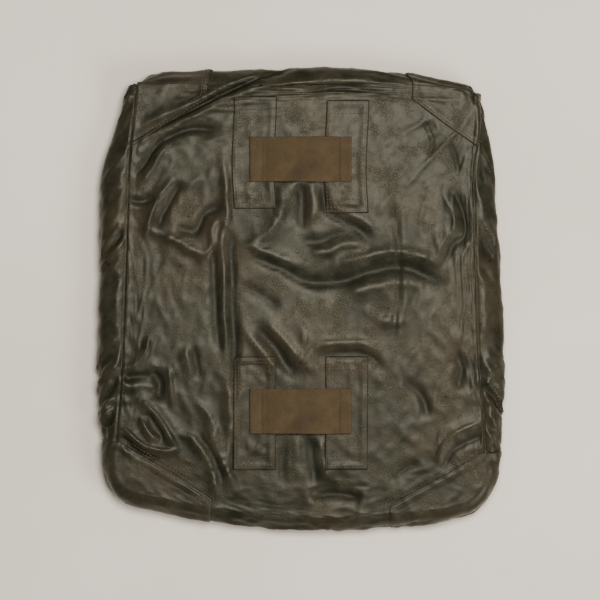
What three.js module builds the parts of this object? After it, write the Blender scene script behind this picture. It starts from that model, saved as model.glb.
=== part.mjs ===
// Carry bag of a chemical protective suit, packed with the folded suit and lying on its front.
// +X is to the right and +Y is towards the mouth, as seen from above. +Z is up, out of the back
// panel that carries the belt loops. The origin is on the ground, in the middle of the bag.
// All lengths are in millimetres and all angles are in degrees.
import * as THREE from "three";

const { clamp, lerp, smoothstep, degToRad, radToDeg } = THREE.MathUtils;

// ---- Cloth, webbing and clearances ----
const FABRIC = 0.8; // rubberised cotton
const WEBBING = 1.6; // cotton belt-loop webbing
const GAP = 0.3; // between pieces that lie on each other

// ---- Body of the bag, in plan ----
const MOUTH_Y = 212; // fold line between the back panel and the top fold
const MOUTH_HALF = 171; // half of the back panel's width at the mouth
const BASE_HALF = 185; // half of its width at the bottom corners
const BASE_Y = -194.5; // where the side seams would meet the bottom edge
const BASE_BULGE = 38.5; // how far the bottom edge is drawn out, at its control point
const BASE_CORNER = 32; // length of each leg of a rounded bottom corner
const MOUTH_REACH = 6; // how far the gusset stands out of its seam, at the mouth
const SIDE_REACH = 23; // and along the side
const BASE_REACH = 13; // and round the bottom
const FOLD_REACH = 18; // how far the top fold stands out, in its middle
const FRONT_SETBACK = 4; // the front panel stops this far short of the mouth
const MOUTH_HEM = 22; // width of the front panel's hem

// ---- Press studs, from the outside in ----
const CAP_FLOOR = 0.3; // the caps clear the ground by this
const CAP_HEIGHT = 1.2;
const CAP_RADIUS = 7.5;
const SOCKET_HEIGHT = 2.3;
const SOCKET_RADIUS = 6.3;
const FLANGE = 0.5; // the stud's and the post's flanges
const STUD_RADIUS = 5.2;
const KNOB_RADIUS = 3.6; // the stud's head, inside the socket
const SHANK_RADIUS = 2;
const SNAP_PITCH = 105;

// ---- Flap ----
const FLAP_LENGTH = 220;
const FLAP_SETBACK = 21; // from the line of the mouth's corner in to the flap's side
const HEM_WIDTH = 30;
const STRIP_WIDTH = 30; // the strip inside the front panel that carries the studs
const SNAP_INSET = 18; // from the flap's free edge to the press studs

// ---- Belt loops and the patches that they are sewn to ----
const LOOP_HEIGHT = 45; // the webbing's width
const LOOP_HALF = 50.5; // half of the loop's length
const LOOP_SEWN = 13.5; // the doubled end that is sewn down
const LOOP_RAMP = 10;
const LOOP_SPACE = 5; // clear height under the loop
const UPPER_LOOP_DROP = 73.5; // from the mouth down to the upper loop's middle
const LOWER_LOOP_RISE = 82.5; // from the bottom corners up to the lower loop's middle
const PATCH_WIDTH = 41;
const PATCH_HEIGHT = 110;
const PATCH_X = 45; // from the middle of the bag to the middle of a patch
const BACKING_MARGIN = 5; // how far a backing reaches past its patch

// ---- Corner patches ----
// A patch reaches its width in from the side seam, and its length along that seam. Its inner edge
// first runs straight in from the bag's edge, as far as run says, and then slants to the seam.
const TOP_PATCH = { width: 70, length: 62, run: 15 };
const BASE_PATCH = { width: 95, length: 51.5, run: -1.5 };
const PATCH_TURNS = 6; // how many profile steps a patch follows round the fold
const EDGE_INSET = 3; // width of a bottom patch on the back panel, where it runs out

// ---- Folded suit, and the room round it in the bag ----
const SUIT_SIDE_ROOM = 16;
const SUIT_MOUTH_ROOM = 9;
const SUIT_BASE_ROOM = 8.5;
const SUIT_CORNER = 30;
const SUIT_EDGE = 2; // rounding of a folded edge

// ---- Heights that follow from the pieces stacked on each other ----
const DEPTH = 30.8; // outer face of the back panel
const flapZ = CAP_FLOOR + CAP_HEIGHT + GAP;
const hemZ = flapZ + FABRIC + GAP;
const socketZ = hemZ + FABRIC + GAP;
const studZ = socketZ + SOCKET_HEIGHT + GAP;
const frontZ = studZ + FLANGE + GAP;
const stripZ = frontZ + FABRIC + GAP;
const postZ = stripZ + FABRIC + GAP;
const suitZ = postZ + FLANGE + GAP;
const backingZ = DEPTH - 2 * FABRIC - GAP;
const garment = (backingZ - suitZ) / 2 - GAP;
const patchZ = DEPTH + GAP;
const loopZ = patchZ + FABRIC + GAP;
const snapY = MOUTH_Y - FLAP_LENGTH + SNAP_INSET;
const snapPlaces = [-SNAP_PITCH, 0, SNAP_PITCH];
const flapHalf = MOUTH_HALF - FLAP_SETBACK;

// ---- Profile of the gusset: it rolls from the back seam down to the ground, then in to a lip ----
const TURN = 24; // degrees between the profile's corners
const GROUND_TURNS = 8; // the last of these turns is a facet that lies flat on the ground
const LIP_TURNS = 2;
const LIP_REACH = 12;
const rimHalf = DEPTH / (1 + Math.cos(degToRad(TURN / 2)));
const rimMiddle = DEPTH - rimHalf;
const lipAngle = -180 + radToDeg(Math.asin((rimMiddle - frontZ) / rimHalf));
const lipInset = LIP_REACH * -Math.cos(degToRad(lipAngle));

const bag = new THREE.Group();

const finish = {
  rubber: { color: 0x4c483c, roughness: 0.45, metalness: 0 },
  patch: { color: 0x504b3f, roughness: 0.5, metalness: 0 },
  webbing: { color: 0x58462e, roughness: 0.95, metalness: 0 },
  metal: { color: 0x4a4233, roughness: 0.4, metalness: 1 },
  suit: { color: 0x3d4034, roughness: 0.5, metalness: 0 },
};

function add(name, geometry, look) {
  const mesh = new THREE.Mesh(geometry, new THREE.MeshStandardMaterial(look));
  mesh.name = name;
  bag.add(mesh);
  return mesh;
}

// A sheet bent onto surface(u, v), which gives a point and the way out of it. It lies between
// the heights low and high over that surface.
function bentSheet(surface, low, high, uSteps, vSteps) {
  const geometry = new THREE.BoxGeometry(1, 1, 1, uSteps, vSteps, 1);
  const position = geometry.getAttribute("position");
  for (let i = 0; i < position.count; i++) {
    const { at, out } = surface(position.getX(i) + 0.5, position.getY(i) + 0.5);
    at.addScaledVector(out, lerp(low, high, position.getZ(i) + 0.5));
    position.setXYZ(i, at.x, at.y, at.z);
  }
  return geometry;
}

// A flat sheet of cloth, with its lower face at the height z.
function flatSheet(shape, z) {
  const settings = { depth: FABRIC, bevelEnabled: false, curveSegments: 12 };
  return new THREE.ExtrudeGeometry(shape, settings).translate(0, 0, z);
}

function outline(points) {
  return new THREE.Shape(points.map(([x, y]) => new THREE.Vector2(x, y)));
}

function rectangle(x0, y0, x1, y1) {
  return outline([[x0, y0], [x1, y0], [x1, y1], [x0, y1]]);
}

function punch(shape, x, y, radius) {
  shape.holes.push(new THREE.Path().absarc(x, y, radius, 0, 2 * Math.PI, true));
}

// A turned piece on the vertical axis through (x, y), from [radius, height] corners.
function turned(corners, x, y) {
  const profile = corners.map(([r, z]) => new THREE.Vector2(r, z));
  return new THREE.LatheGeometry(profile, 16).rotateX(Math.PI / 2).translate(x, y, 0);
}

// ---- Seam between back panel and gusset: down the left side, round the bottom, up the right ----
const seamSide = (BASE_HALF - MOUTH_HALF) / (MOUTH_Y - BASE_Y);
const seamX = (y) => MOUTH_HALF + seamSide * (MOUTH_Y - y);
const sideEnd = BASE_Y + BASE_CORNER;
const patchEnd = BASE_Y + BASE_PATCH.length;
const bottomHalf = BASE_HALF - BASE_CORNER;
const bottomY = BASE_Y - BASE_CORNER * (BASE_BULGE / BASE_HALF);
const seam = new THREE.Path();
seam.moveTo(-MOUTH_HALF, MOUTH_Y - GAP);
seam.lineTo(-seamX(patchEnd), patchEnd);
seam.lineTo(-seamX(sideEnd), sideEnd);
seam.quadraticCurveTo(-BASE_HALF, BASE_Y, -bottomHalf, bottomY);
seam.quadraticCurveTo(0, BASE_Y - BASE_BULGE, bottomHalf, bottomY);
seam.quadraticCurveTo(BASE_HALF, BASE_Y, seamX(sideEnd), sideEnd);
seam.lineTo(seamX(patchEnd), patchEnd);
seam.lineTo(MOUTH_HALF, MOUTH_Y - GAP);

// Points along the seam that every piece beside it shares, each with the way out of the bag.
const SIDE_STEPS = 12;
const PATCH_STEPS = 1; // from the bottom patch's start to the rounded corner
const CORNER_STEPS = 6;
const BOTTOM_STEPS = 20;
const halfSteps = [SIDE_STEPS, PATCH_STEPS, CORNER_STEPS];
const stretchSteps = [...halfSteps, BOTTOM_STEPS, ...halfSteps.toReversed()];
const stations = seam.curves.flatMap((curve, stretch) => {
  const steps = stretchSteps[stretch];
  const first = stretch === 0 ? 0 : 1;
  return Array.from({ length: steps + 1 - first }, (_, k) => {
    const share = (k + first) / steps;
    const ahead = curve.getTangent(share);
    return { at: curve.getPoint(share), out: new THREE.Vector2(ahead.y, -ahead.x) };
  });
});
const lastStation = stations.length - 1;
const cornerStation = SIDE_STEPS + PATCH_STEPS + CORNER_STEPS / 2;

// How far the gusset stands out of its seam.
function reachAt(y) {
  const side = smoothstep(y, BASE_Y + BASE_CORNER, -60);
  const mouth = smoothstep(y, 110, MOUTH_Y);
  return BASE_REACH + (SIDE_REACH - BASE_REACH) * side - (SIDE_REACH - MOUTH_REACH) * mouth;
}

// A place on the seam in plan, which may lie between two stations.
function seamAt(station) {
  const before = stations[Math.floor(station)];
  const after = stations[Math.ceil(station)];
  const share = station % 1;
  return {
    at: before.at.clone().lerp(after.at, share),
    out: before.out.clone().lerp(after.out, share).normalize(),
  };
}

// The profile's angle after a number of steps: 90 is the back seam and -90 the ground.
function profileAngle(steps) {
  if (steps <= GROUND_TURNS) return 90 - TURN * steps;
  return lerp(90 - TURN * GROUND_TURNS, lipAngle, (steps - GROUND_TURNS) / LIP_TURNS);
}

// The gusset's outer surface.
function rimAt(station, steps) {
  const { at, out } = seamAt(station);
  const angle = degToRad(profileAngle(steps));
  const reach = Math.cos(angle) > 0 ? reachAt(at.y) : LIP_REACH;
  at.addScaledVector(out, reach * Math.cos(angle));
  const normal = new THREE.Vector3(out.x, out.y, 0).multiplyScalar(Math.cos(angle) / reach);
  normal.z = Math.sin(angle) / rimHalf;
  return {
    at: new THREE.Vector3(at.x, at.y, rimMiddle + rimHalf * Math.sin(angle)),
    out: normal.normalize(),
  };
}

function rimSheet(from, to) {
  const turns = GROUND_TURNS + LIP_TURNS;
  const [first, last] = [Math.floor(from), Math.ceil(to)];
  const surface = (u, v) => rimAt(clamp(lerp(first, last, v), from, to), u * turns);
  return bentSheet(surface, -FABRIC, 0, turns, last - first);
}

// The seam moved into the bag by inset, as an outline that a straight mouth edge closes.
function insetSeam(inset, mouthY) {
  const points = stations.map(({ at, out }) => at.clone().addScaledVector(out, -inset));
  for (const point of points) point.y = Math.min(point.y, mouthY);
  return new THREE.Shape(points);
}

// ---- Body of the bag ----
function body() {
  add("back_panel", flatSheet(insetSeam(GAP, MOUTH_Y - GAP), DEPTH - FABRIC), finish.rubber);

  const edge = MOUTH_Y - FRONT_SETBACK;
  const front = insetSeam(lipInset + GAP, edge);
  for (const x of snapPlaces) punch(front, x, snapY, SHANK_RADIUS + GAP);
  add("front_panel", flatSheet(front, frontZ), finish.rubber);
  const hem = rectangle(-flapHalf, edge - MOUTH_HEM, flapHalf, edge);
  add("mouth_hem", flatSheet(hem, stripZ), finish.rubber);

  const step = stations[cornerStation].at.distanceTo(stations[cornerStation + 1].at);
  const join = cornerStation + (2 * GAP) / step;
  add("side_gusset_left", rimSheet(0, cornerStation), finish.rubber);
  add("bottom_fold", rimSheet(join, lastStation - join), finish.rubber);
  add("side_gusset_right", rimSheet(lastStation - cornerStation, lastStation), finish.rubber);
}

// ---- Corner patches ----
function topCornerPatch(side) {
  const mouth = MOUTH_Y - GAP;
  const inner = MOUTH_HALF - TOP_PATCH.width;
  const foot = MOUTH_Y - TOP_PATCH.length;
  const corners = [[inner, mouth], [inner, MOUTH_Y - TOP_PATCH.run], [seamX(foot), foot]];
  corners.push([MOUTH_HALF, mouth]);
  return flatSheet(outline(corners.map(([x, y]) => [side * x, y])), patchZ);
}

// From its inner edge on the back panel, a bottom patch runs to the seam and on round the gusset.
function bottomCornerPatch(side) {
  const flatSteps = 2;
  const first = SIDE_STEPS;
  const inner = BASE_HALF - BASE_PATCH.width;
  const onBottom = BOTTOM_STEPS * (0.5 - inner / (2 * bottomHalf));
  const last = first + PATCH_STEPS + CORNER_STEPS + onBottom;
  const rows = Math.ceil(last) - first;
  const turnRow = rows - 3; // where the inner edge turns from its slant to run straight down
  const insetAt = (station) => {
    const { at, out } = seamAt(station);
    return at.addScaledVector(out, -EDGE_INSET);
  };
  const tip = insetAt(first);
  const foot = insetAt(last);
  const turn = new THREE.Vector2(foot.x, BASE_Y + BASE_PATCH.run);
  const innerEdge = (row) =>
    row < turnRow
      ? tip.clone().lerp(turn, row / turnRow)
      : turn.clone().lerp(foot, (row - turnRow) / (rows - turnRow));
  const surface = (u, v) => {
    const row = rows * v;
    const station = Math.min(first + row, last);
    const across = u * (flatSteps + PATCH_TURNS) - flatSteps;
    if (across >= 0) return mirrored(rimAt(station, across), side);
    const at = innerEdge(row).lerp(seamAt(station).at, 1 + across / flatSteps);
    const point = new THREE.Vector3(at.x, at.y, DEPTH);
    return mirrored({ at: point, out: new THREE.Vector3(0, 0, 1) }, side);
  };
  const facing = side < 0 ? surface : (u, v) => surface(u, 1 - v);
  return bentSheet(facing, GAP, GAP + FABRIC, flatSteps + PATCH_TURNS, rows);
}

function mirrored({ at, out }, side) {
  const flip = new THREE.Vector3(-side, 1, 1);
  return { at: at.multiply(flip), out: out.multiply(flip) };
}

function cornerPatches() {
  for (const [name, side] of [["left", -1], ["right", 1]]) {
    add(`corner_patch_top_${name}`, topCornerPatch(side), finish.patch);
    add(`corner_patch_bottom_${name}`, bottomCornerPatch(side), finish.patch);
  }
}

// ---- Belt loops, each on two patches outside and two backings inside the back panel ----
function loopProfile() {
  const sewn = LOOP_HALF - LOOP_SEWN;
  const flat = sewn - LOOP_RAMP;
  const doubled = 2 * WEBBING; // each end is folded under itself
  const top = [[LOOP_HALF, 0], [LOOP_HALF, doubled], [sewn, doubled], [flat, LOOP_SPACE + WEBBING]];
  const underside = [[flat, LOOP_SPACE], [sewn - 1, 0]];
  const mirror = (points) => points.map(([x, z]) => [-x, z]).reverse();
  return outline([...top, ...mirror(top), ...mirror(underside), ...underside]);
}

function beltLoop(y) {
  return new THREE.ExtrudeGeometry(loopProfile(), { depth: LOOP_HEIGHT, bevelEnabled: false })
    .rotateX(Math.PI / 2)
    .translate(0, y + LOOP_HEIGHT / 2, loopZ);
}

function beltLoops() {
  const levels = [["upper", MOUTH_Y - UPPER_LOOP_DROP], ["lower", BASE_Y + LOWER_LOOP_RISE]];
  for (const [level, y] of levels) {
    add(`belt_loop_${level}`, beltLoop(y), finish.webbing);
    for (const [name, side] of [["left", -1], ["right", 1]]) {
      const x = side * PATCH_X;
      const pad = (margin) =>
        rectangle(
          x - PATCH_WIDTH / 2 - margin,
          y - PATCH_HEIGHT / 2 - margin,
          x + PATCH_WIDTH / 2 + margin,
          y + PATCH_HEIGHT / 2 + margin,
        );
      add(`loop_patch_${level}_${name}`, flatSheet(pad(0), patchZ), finish.patch);
      add(`loop_backing_${level}_${name}`, flatSheet(pad(BACKING_MARGIN), backingZ), finish.patch);
    }
  }
}

// ---- Top fold: from the back panel over the mouth to the flap ----
const foldMiddle = (DEPTH + flapZ) / 2;
const foldHalf = (DEPTH - flapZ) / 2;

const FOLD_TURNS = 8;
const FOLD_STEPS = 32; // from the right end of the fold to its left end

// The fold's outer surface, after a number of steps across it and of turns down from the back panel.
function foldAt(step, turn) {
  const angle = degToRad(90 - (180 * turn) / FOLD_TURNS);
  const place = 1 - (2 * step) / FOLD_STEPS;
  const reach = lerp(MOUTH_REACH, FOLD_REACH, 1 - place * place);
  const half = lerp(MOUTH_HALF, flapHalf, turn / FOLD_TURNS);
  const height = foldMiddle + foldHalf * Math.sin(angle);
  const out = new THREE.Vector3(0, Math.cos(angle) / reach, Math.sin(angle) / foldHalf);
  return {
    at: new THREE.Vector3(half * place, MOUTH_Y + reach * Math.cos(angle), height),
    out: out.normalize(),
  };
}

function foldSheet(from, to, turns, low, high) {
  const [first, last] = [Math.floor(from), Math.ceil(to)];
  const surface = (u, v) => foldAt(clamp(lerp(first, last, v), from, to), u * turns);
  return bentSheet(surface, low, high, turns, last - first);
}

function topFold() {
  const covered = (FOLD_STEPS * TOP_PATCH.width) / (2 * MOUTH_HALF);
  const left = foldSheet(FOLD_STEPS - covered, FOLD_STEPS, PATCH_TURNS, GAP, GAP + FABRIC);
  const right = foldSheet(0, covered, PATCH_TURNS, GAP, GAP + FABRIC);
  add("top_fold", foldSheet(0, FOLD_STEPS, FOLD_TURNS, -FABRIC, 0), finish.rubber);
  add("corner_turn_left", left, finish.patch);
  add("corner_turn_right", right, finish.patch);
}

// ---- Flap, with a hem that backs its press studs ----
function flap() {
  const free = MOUTH_Y - FLAP_LENGTH;
  const cloth = rectangle(-flapHalf, free, flapHalf, MOUTH_Y - GAP);
  const hem = rectangle(-flapHalf, free, flapHalf, free + HEM_WIDTH);
  const half = STRIP_WIDTH / 2;
  const strip = rectangle(-flapHalf, snapY - half, flapHalf, snapY + half);
  for (const shape of [cloth, hem, strip]) {
    for (const x of snapPlaces) punch(shape, x, snapY, SHANK_RADIUS + GAP);
  }
  add("flap", flatSheet(cloth, flapZ), finish.rubber);
  add("flap_hem", flatSheet(hem, hemZ), finish.rubber);
  add("stud_strip", flatSheet(strip, stripZ), finish.patch);
}

// ---- Press studs: cap and socket on the flap, stud and post on the front panel ----
function pressStuds() {
  const bore = SHANK_RADIUS + GAP;
  const socketBase = 0.4;
  const socketTop = socketZ + SOCKET_HEIGHT;
  const rivet = socketZ + socketBase + GAP; // the cap's shank is spread over the socket's base
  const spread = SHANK_RADIUS + 0.8;
  const knob = rivet + FLANGE + GAP; // lowest point of the stud's head
  const shell = 0.35; // wall of the stud's head
  const cap = [
    [0, CAP_FLOOR], [5, CAP_FLOOR + 0.2], [7, CAP_FLOOR + 0.7], [CAP_RADIUS, CAP_FLOOR + CAP_HEIGHT],
    [SHANK_RADIUS, CAP_FLOOR + CAP_HEIGHT], [SHANK_RADIUS, rivet], [spread, rivet],
    [spread, rivet + FLANGE], [0, rivet + FLANGE],
  ];
  const socket = [
    [bore, socketZ], [SOCKET_RADIUS, socketZ], [SOCKET_RADIUS + 0.3, socketZ + 0.7],
    [SOCKET_RADIUS, socketTop], [KNOB_RADIUS + 0.6, socketTop], [KNOB_RADIUS + GAP, socketTop - 0.4],
    [KNOB_RADIUS + 0.7, socketTop - 1], [KNOB_RADIUS + 0.7, socketZ + socketBase],
    [bore, socketZ + socketBase], [bore, socketZ],
  ];
  const stud = [
    [0, knob], [KNOB_RADIUS - 0.3, knob], [KNOB_RADIUS, knob + 0.3], [KNOB_RADIUS - 0.4, studZ],
    [STUD_RADIUS, studZ], [STUD_RADIUS, studZ + FLANGE], [bore, studZ + FLANGE],
    [bore, knob + shell], [0, knob + shell],
  ];
  const post = [
    [0, knob + shell + GAP], [SHANK_RADIUS, knob + shell + GAP], [SHANK_RADIUS, postZ],
    [STUD_RADIUS, postZ], [STUD_RADIUS, postZ + FLANGE], [0, postZ + FLANGE],
  ];
  for (const [name, x] of [["left", -SNAP_PITCH], ["middle", 0], ["right", SNAP_PITCH]]) {
    add(`snap_cap_${name}`, turned(cap, x, snapY), finish.metal);
    add(`snap_socket_${name}`, turned(socket, x, snapY), finish.metal);
    add(`snap_stud_${name}`, turned(stud, x, snapY), finish.metal);
    add(`snap_post_${name}`, turned(post, x, snapY), finish.metal);
  }
}

// ---- Folded suit: the trousers lie on the front panel and the jacket on them ----
function foldedGarment(z) {
  const shape = new THREE.Shape();
  const half = MOUTH_HALF - SUIT_SIDE_ROOM - SUIT_EDGE;
  const base = BASE_Y + SUIT_BASE_ROOM + SUIT_EDGE;
  const top = MOUTH_Y - SUIT_MOUTH_ROOM - SUIT_EDGE;
  const r = SUIT_CORNER;
  shape.moveTo(-half, top);
  shape.lineTo(-half, base + r);
  shape.absarc(-half + r, base + r, r, Math.PI, 1.5 * Math.PI, false);
  shape.lineTo(half - r, base);
  shape.absarc(half - r, base + r, r, 1.5 * Math.PI, 2 * Math.PI, false);
  shape.lineTo(half, top);
  return new THREE.ExtrudeGeometry(shape, {
    depth: garment - 2 * SUIT_EDGE,
    bevelThickness: SUIT_EDGE,
    bevelSize: SUIT_EDGE,
    bevelSegments: 2,
    curveSegments: 6,
  }).translate(0, 0, z + SUIT_EDGE);
}

function suit() {
  add("folded_trousers", foldedGarment(suitZ), finish.suit);
  add("folded_jacket", foldedGarment(suitZ + garment + GAP), finish.suit);
}

body();
cornerPatches();
beltLoops();
topFold();
flap();
pressStuds();
suit();

export default bag;
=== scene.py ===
"""Carry bag of a chemical protective suit, packed and lying on its front, seen from its back."""

import math

import bpy
import numpy as np
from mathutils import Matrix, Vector, noise
from mathutils.bvhtree import BVHTree
from mathutils.interpolate import poly_3d_calc


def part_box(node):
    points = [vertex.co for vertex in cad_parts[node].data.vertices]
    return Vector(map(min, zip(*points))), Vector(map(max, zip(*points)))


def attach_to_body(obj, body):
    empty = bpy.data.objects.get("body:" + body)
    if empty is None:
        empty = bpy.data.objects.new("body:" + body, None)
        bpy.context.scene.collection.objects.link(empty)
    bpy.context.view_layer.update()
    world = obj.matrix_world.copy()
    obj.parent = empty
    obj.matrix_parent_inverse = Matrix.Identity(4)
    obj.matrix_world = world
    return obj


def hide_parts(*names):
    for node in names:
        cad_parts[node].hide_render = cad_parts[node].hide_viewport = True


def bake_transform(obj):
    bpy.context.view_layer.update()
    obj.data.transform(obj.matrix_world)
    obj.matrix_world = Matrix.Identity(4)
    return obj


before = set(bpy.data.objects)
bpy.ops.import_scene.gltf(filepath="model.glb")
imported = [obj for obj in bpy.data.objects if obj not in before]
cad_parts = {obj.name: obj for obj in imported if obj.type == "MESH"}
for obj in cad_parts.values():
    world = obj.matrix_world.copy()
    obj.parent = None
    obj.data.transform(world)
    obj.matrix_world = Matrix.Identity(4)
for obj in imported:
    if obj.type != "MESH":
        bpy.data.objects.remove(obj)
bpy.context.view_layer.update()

# ---- 1. Floor, light and camera ----
# The bag lies on a pale cloth-covered table. One large soft lamp hangs over it, a little to the
# right, and the camera looks straight down.
CAMERA_HEIGHT = 5.0
FIELD = 0.6  # width of floor that the camera sees
LOOK_AT = (-0.0005, -0.0015)
SENSOR = 36  # millimetres
FLOOR_HALF = 1.6
TABLE_SHADE = (0.87, 0.80, 0.715, 1)
TABLE_LIGHT = (0.94, 0.87, 0.785, 1)


def deselect():
    bpy.ops.object.select_all(action="DESELECT")


def material(name, roughness, specular=0.5):
    made = bpy.data.materials.new(name)
    made.use_nodes = True
    shader = made.node_tree.nodes["Principled BSDF"]
    shader.inputs["Roughness"].default_value = roughness
    shader.inputs["Specular IOR Level"].default_value = specular
    return made, made.node_tree, shader


def node(tree, kind, settings=None, **inputs):
    """Adds a node. An input is a value, or the output socket that feeds it."""
    made = tree.nodes.new(kind)
    for setting, value in (settings or {}).items():
        setattr(made, setting, value)
    for key, value in inputs.items():
        socket = made.inputs[int(key[1:])] if key[0] == "_" else made.inputs[key.replace("_", " ")]
        if isinstance(value, bpy.types.NodeSocket):
            tree.links.new(value, socket)
        else:
            socket.default_value = value
    return made


def ramp(tree, value, low, high):
    """How far a value has gone from low to high, from 0 to 1, smoothly."""
    smoothly = {"interpolation_type": "SMOOTHSTEP"}
    made = node(tree, "ShaderNodeMapRange", smoothly, Value=value, From_Min=low, From_Max=high)
    return made.outputs["Result"]


def cloud(tree, place, scale, detail, **extra):
    made = node(tree, "ShaderNodeTexNoise", Vector=place, Scale=scale, Detail=detail, **extra)
    return made.outputs[0]


def mix(tree, share, first, second):
    return node(tree, "ShaderNodeMix", {"data_type": "RGBA"}, _0=share, _6=first, _7=second).outputs[2]


def maths(tree, operation, first, second=0.0, third=0.5):
    return node(tree, "ShaderNodeMath", {"operation": operation}, _0=first, _1=second, _2=third).outputs[0]


def times(tree, first, second):
    return maths(tree, "MULTIPLY", first, second)


def tinted(tree, color, share, most, tint):
    """The color, with at most the given part of it covered by the tint."""
    return mix(tree, times(tree, share, most), color, tint)


def roughen(tree, shader, height, strength, distance):
    bump = node(tree, "ShaderNodeBump", Strength=strength, Distance=distance, Height=height)
    tree.links.new(bump.outputs[0], shader.inputs["Normal"])


def object_place(tree):
    return node(tree, "ShaderNodeTexCoord").outputs["Object"]


def pattern_place(tree):
    return node(tree, "ShaderNodeUVMap", {"uv_map": "pattern"}).outputs[0]


def make_floor():
    deselect()
    bpy.ops.mesh.primitive_grid_add(x_subdivisions=2, y_subdivisions=2, size=2 * FLOOR_HALF)
    floor = bpy.context.object
    floor.name = "floor"
    made, tree, shader = material("table_cloth", 0.9, 0.2)
    place = object_place(tree)
    cloudy = ramp(tree, cloud(tree, place, 3.0, 3.0), 0.3, 0.7)
    tree.links.new(mix(tree, cloudy, TABLE_SHADE, TABLE_LIGHT), shader.inputs["Base Color"])
    roughen(tree, shader, cloud(tree, place, 900.0, 2.0), 0.25, 0.0006)
    floor.data.materials.append(made)


def lamp(name, at, size, power, color):
    """A round soft lamp that shines at the middle of the bag."""
    data = bpy.data.lights.new(name, "AREA")
    data.shape = "DISK"
    data.size = size
    data.energy = power
    data.color = color
    made = bpy.data.objects.new(name, data)
    made.location = at
    made.rotation_euler = (-Vector(at)).to_track_quat("-Z", "Y").to_euler()
    bpy.context.scene.collection.objects.link(made)


make_floor()
lamp("main_light", (0.22, 0.32, 1.85), 0.80, 35, (1.0, 0.95, 0.86))
lamp("fill_light", (1.5, -1.0, 1.4), 1.1, 26, (1.0, 0.96, 0.90))
world = bpy.data.worlds.new("studio")
world.use_nodes = True
background = world.node_tree.nodes["Background"].inputs
background["Color"].default_value = (1.0, 0.98, 0.93, 1)
background["Strength"].default_value = 0.30
bpy.context.scene.world = world
camera_data = bpy.data.cameras.new("camera")
camera_data.sensor_width = SENSOR
camera_data.lens = SENSOR * CAMERA_HEIGHT / FIELD
camera = bpy.data.objects.new("camera", camera_data)
camera.location = (*LOOK_AT, CAMERA_HEIGHT)
bpy.context.scene.collection.objects.link(camera)
bpy.context.scene.camera = camera

# ---- 2. Outer cloth of the bag ----
# Rubberised cotton, sewn from a back panel, two side gussets, a bottom fold and a top fold that
# goes over the mouth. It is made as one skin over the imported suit, wrinkled, and then cut into
# its pieces at the seams.
panel_low, panel_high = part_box("back_panel")
fold_low, fold_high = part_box("top_fold")
FABRIC = panel_high.z - panel_low.z
TOP = panel_high.z
MOUTH_Y = fold_low.y
MOUTH_HALF = fold_high.x
FLARE = 0.014  # the bag is this much wider on each side at its bottom corners
BASE_RISE = 0.0223  # from the panel's lowest edge up to where the side seams end
BASE_BULGE = 0.0385  # the bottom's middle would hang this far below its corners, as one arc
CORNER_LEG = 0.032  # how far along each side a bottom corner's rounding reaches
BASE_HALF = MOUTH_HALF + FLARE
BASE_Y = panel_low.y + BASE_RISE
MOUTH_REACH = 0.006  # how far the gusset stands out of its seam at the mouth
SIDE_REACH = 0.023
BASE_REACH = 0.013
FOLD_REACH = fold_high.y - MOUTH_Y
FLAP_TOP = fold_low.z
FLAP_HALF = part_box("flap")[1].x
FOLD_LENGTH = 0.052  # of the fold's cloth, from the mouth round to the flap
COLUMNS = 92  # of the back panel's grid
ROWS = 104
RIM_ROWS = 17  # from the seam round to the ground, and in to the lip
RIM_GRADE = 1.15  # more than 1 sets the rim's rows closer near the seam
FOLD_ROWS = 12


def smooth(value, low, high):
    share = np.clip((value - low) / (high - low), 0, 1)
    return share * share * (3 - 2 * share)


def bell(value, middle, width):
    """1 at the middle, falling off to 0 over about the given width on both sides."""
    return np.exp(-(((value - middle) / width) ** 2))


def facing_up(z):
    """1 on top of the bag, falling off to 0 down its sides."""
    return smooth(z, 0.010, 0.026)


def curve_through(corners, count):
    """Evenly spaced points along a smooth curve through the corners."""
    p = np.array(corners, float)
    p = np.vstack([2 * p[0] - p[1], p, 2 * p[-1] - p[-2]])
    t = np.linspace(0, 1, 12, endpoint=False)[:, None]
    spans = [
        0.5 * (2 * b + (c - a) * t + (2 * a - 5 * b + 4 * c - d) * t**2 + (3 * b - a - 3 * c + d) * t**3)
        for a, b, c, d in zip(p, p[1:], p[2:], p[3:])
    ]
    return evenly(np.vstack([*spans, p[-2:-1]]), np.linspace(0, 1, count))


def evenly(points, shares):
    """Points at the given shares of a path's length."""
    steps = np.linalg.norm(np.diff(points, axis=0), axis=1)
    along = np.concatenate([[0], np.cumsum(steps)]) / steps.sum()
    return np.stack([np.interp(shares, along, points[:, k]) for k in range(points.shape[1])], axis=1)


def arc(start, control, end, count=24):
    t = np.linspace(0, 1, count)[:, None]
    a, b, c = (np.array(p, float) for p in (start, control, end))
    return (1 - t) ** 2 * a + 2 * t * (1 - t) * b + t * t * c


def graded(count, edge):
    """Shares from 0 to 1 that are closer together near both ends."""
    t = np.linspace(0, 1, count + 1)
    return t - edge * np.sin(2 * np.pi * t) / (2 * np.pi)


def path_length(points):
    return np.linalg.norm(np.diff(points, axis=0), axis=1).sum()


def seam_x(y):
    """How far from the middle the straight part of a side seam is."""
    return MOUTH_HALF + FLARE * (MOUTH_Y - y) / (MOUTH_Y - BASE_Y)


def quad_grid(index):
    """Faces between the points of a grid, from the points' numbers in rows and columns."""
    corners = [index[:-1, :-1], index[:-1, 1:], index[1:, 1:], index[1:, :-1]]
    return np.stack(corners, axis=-1).reshape(-1, 4)


def numbered(rows, columns):
    return np.arange(rows * columns).reshape(rows, columns)


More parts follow.
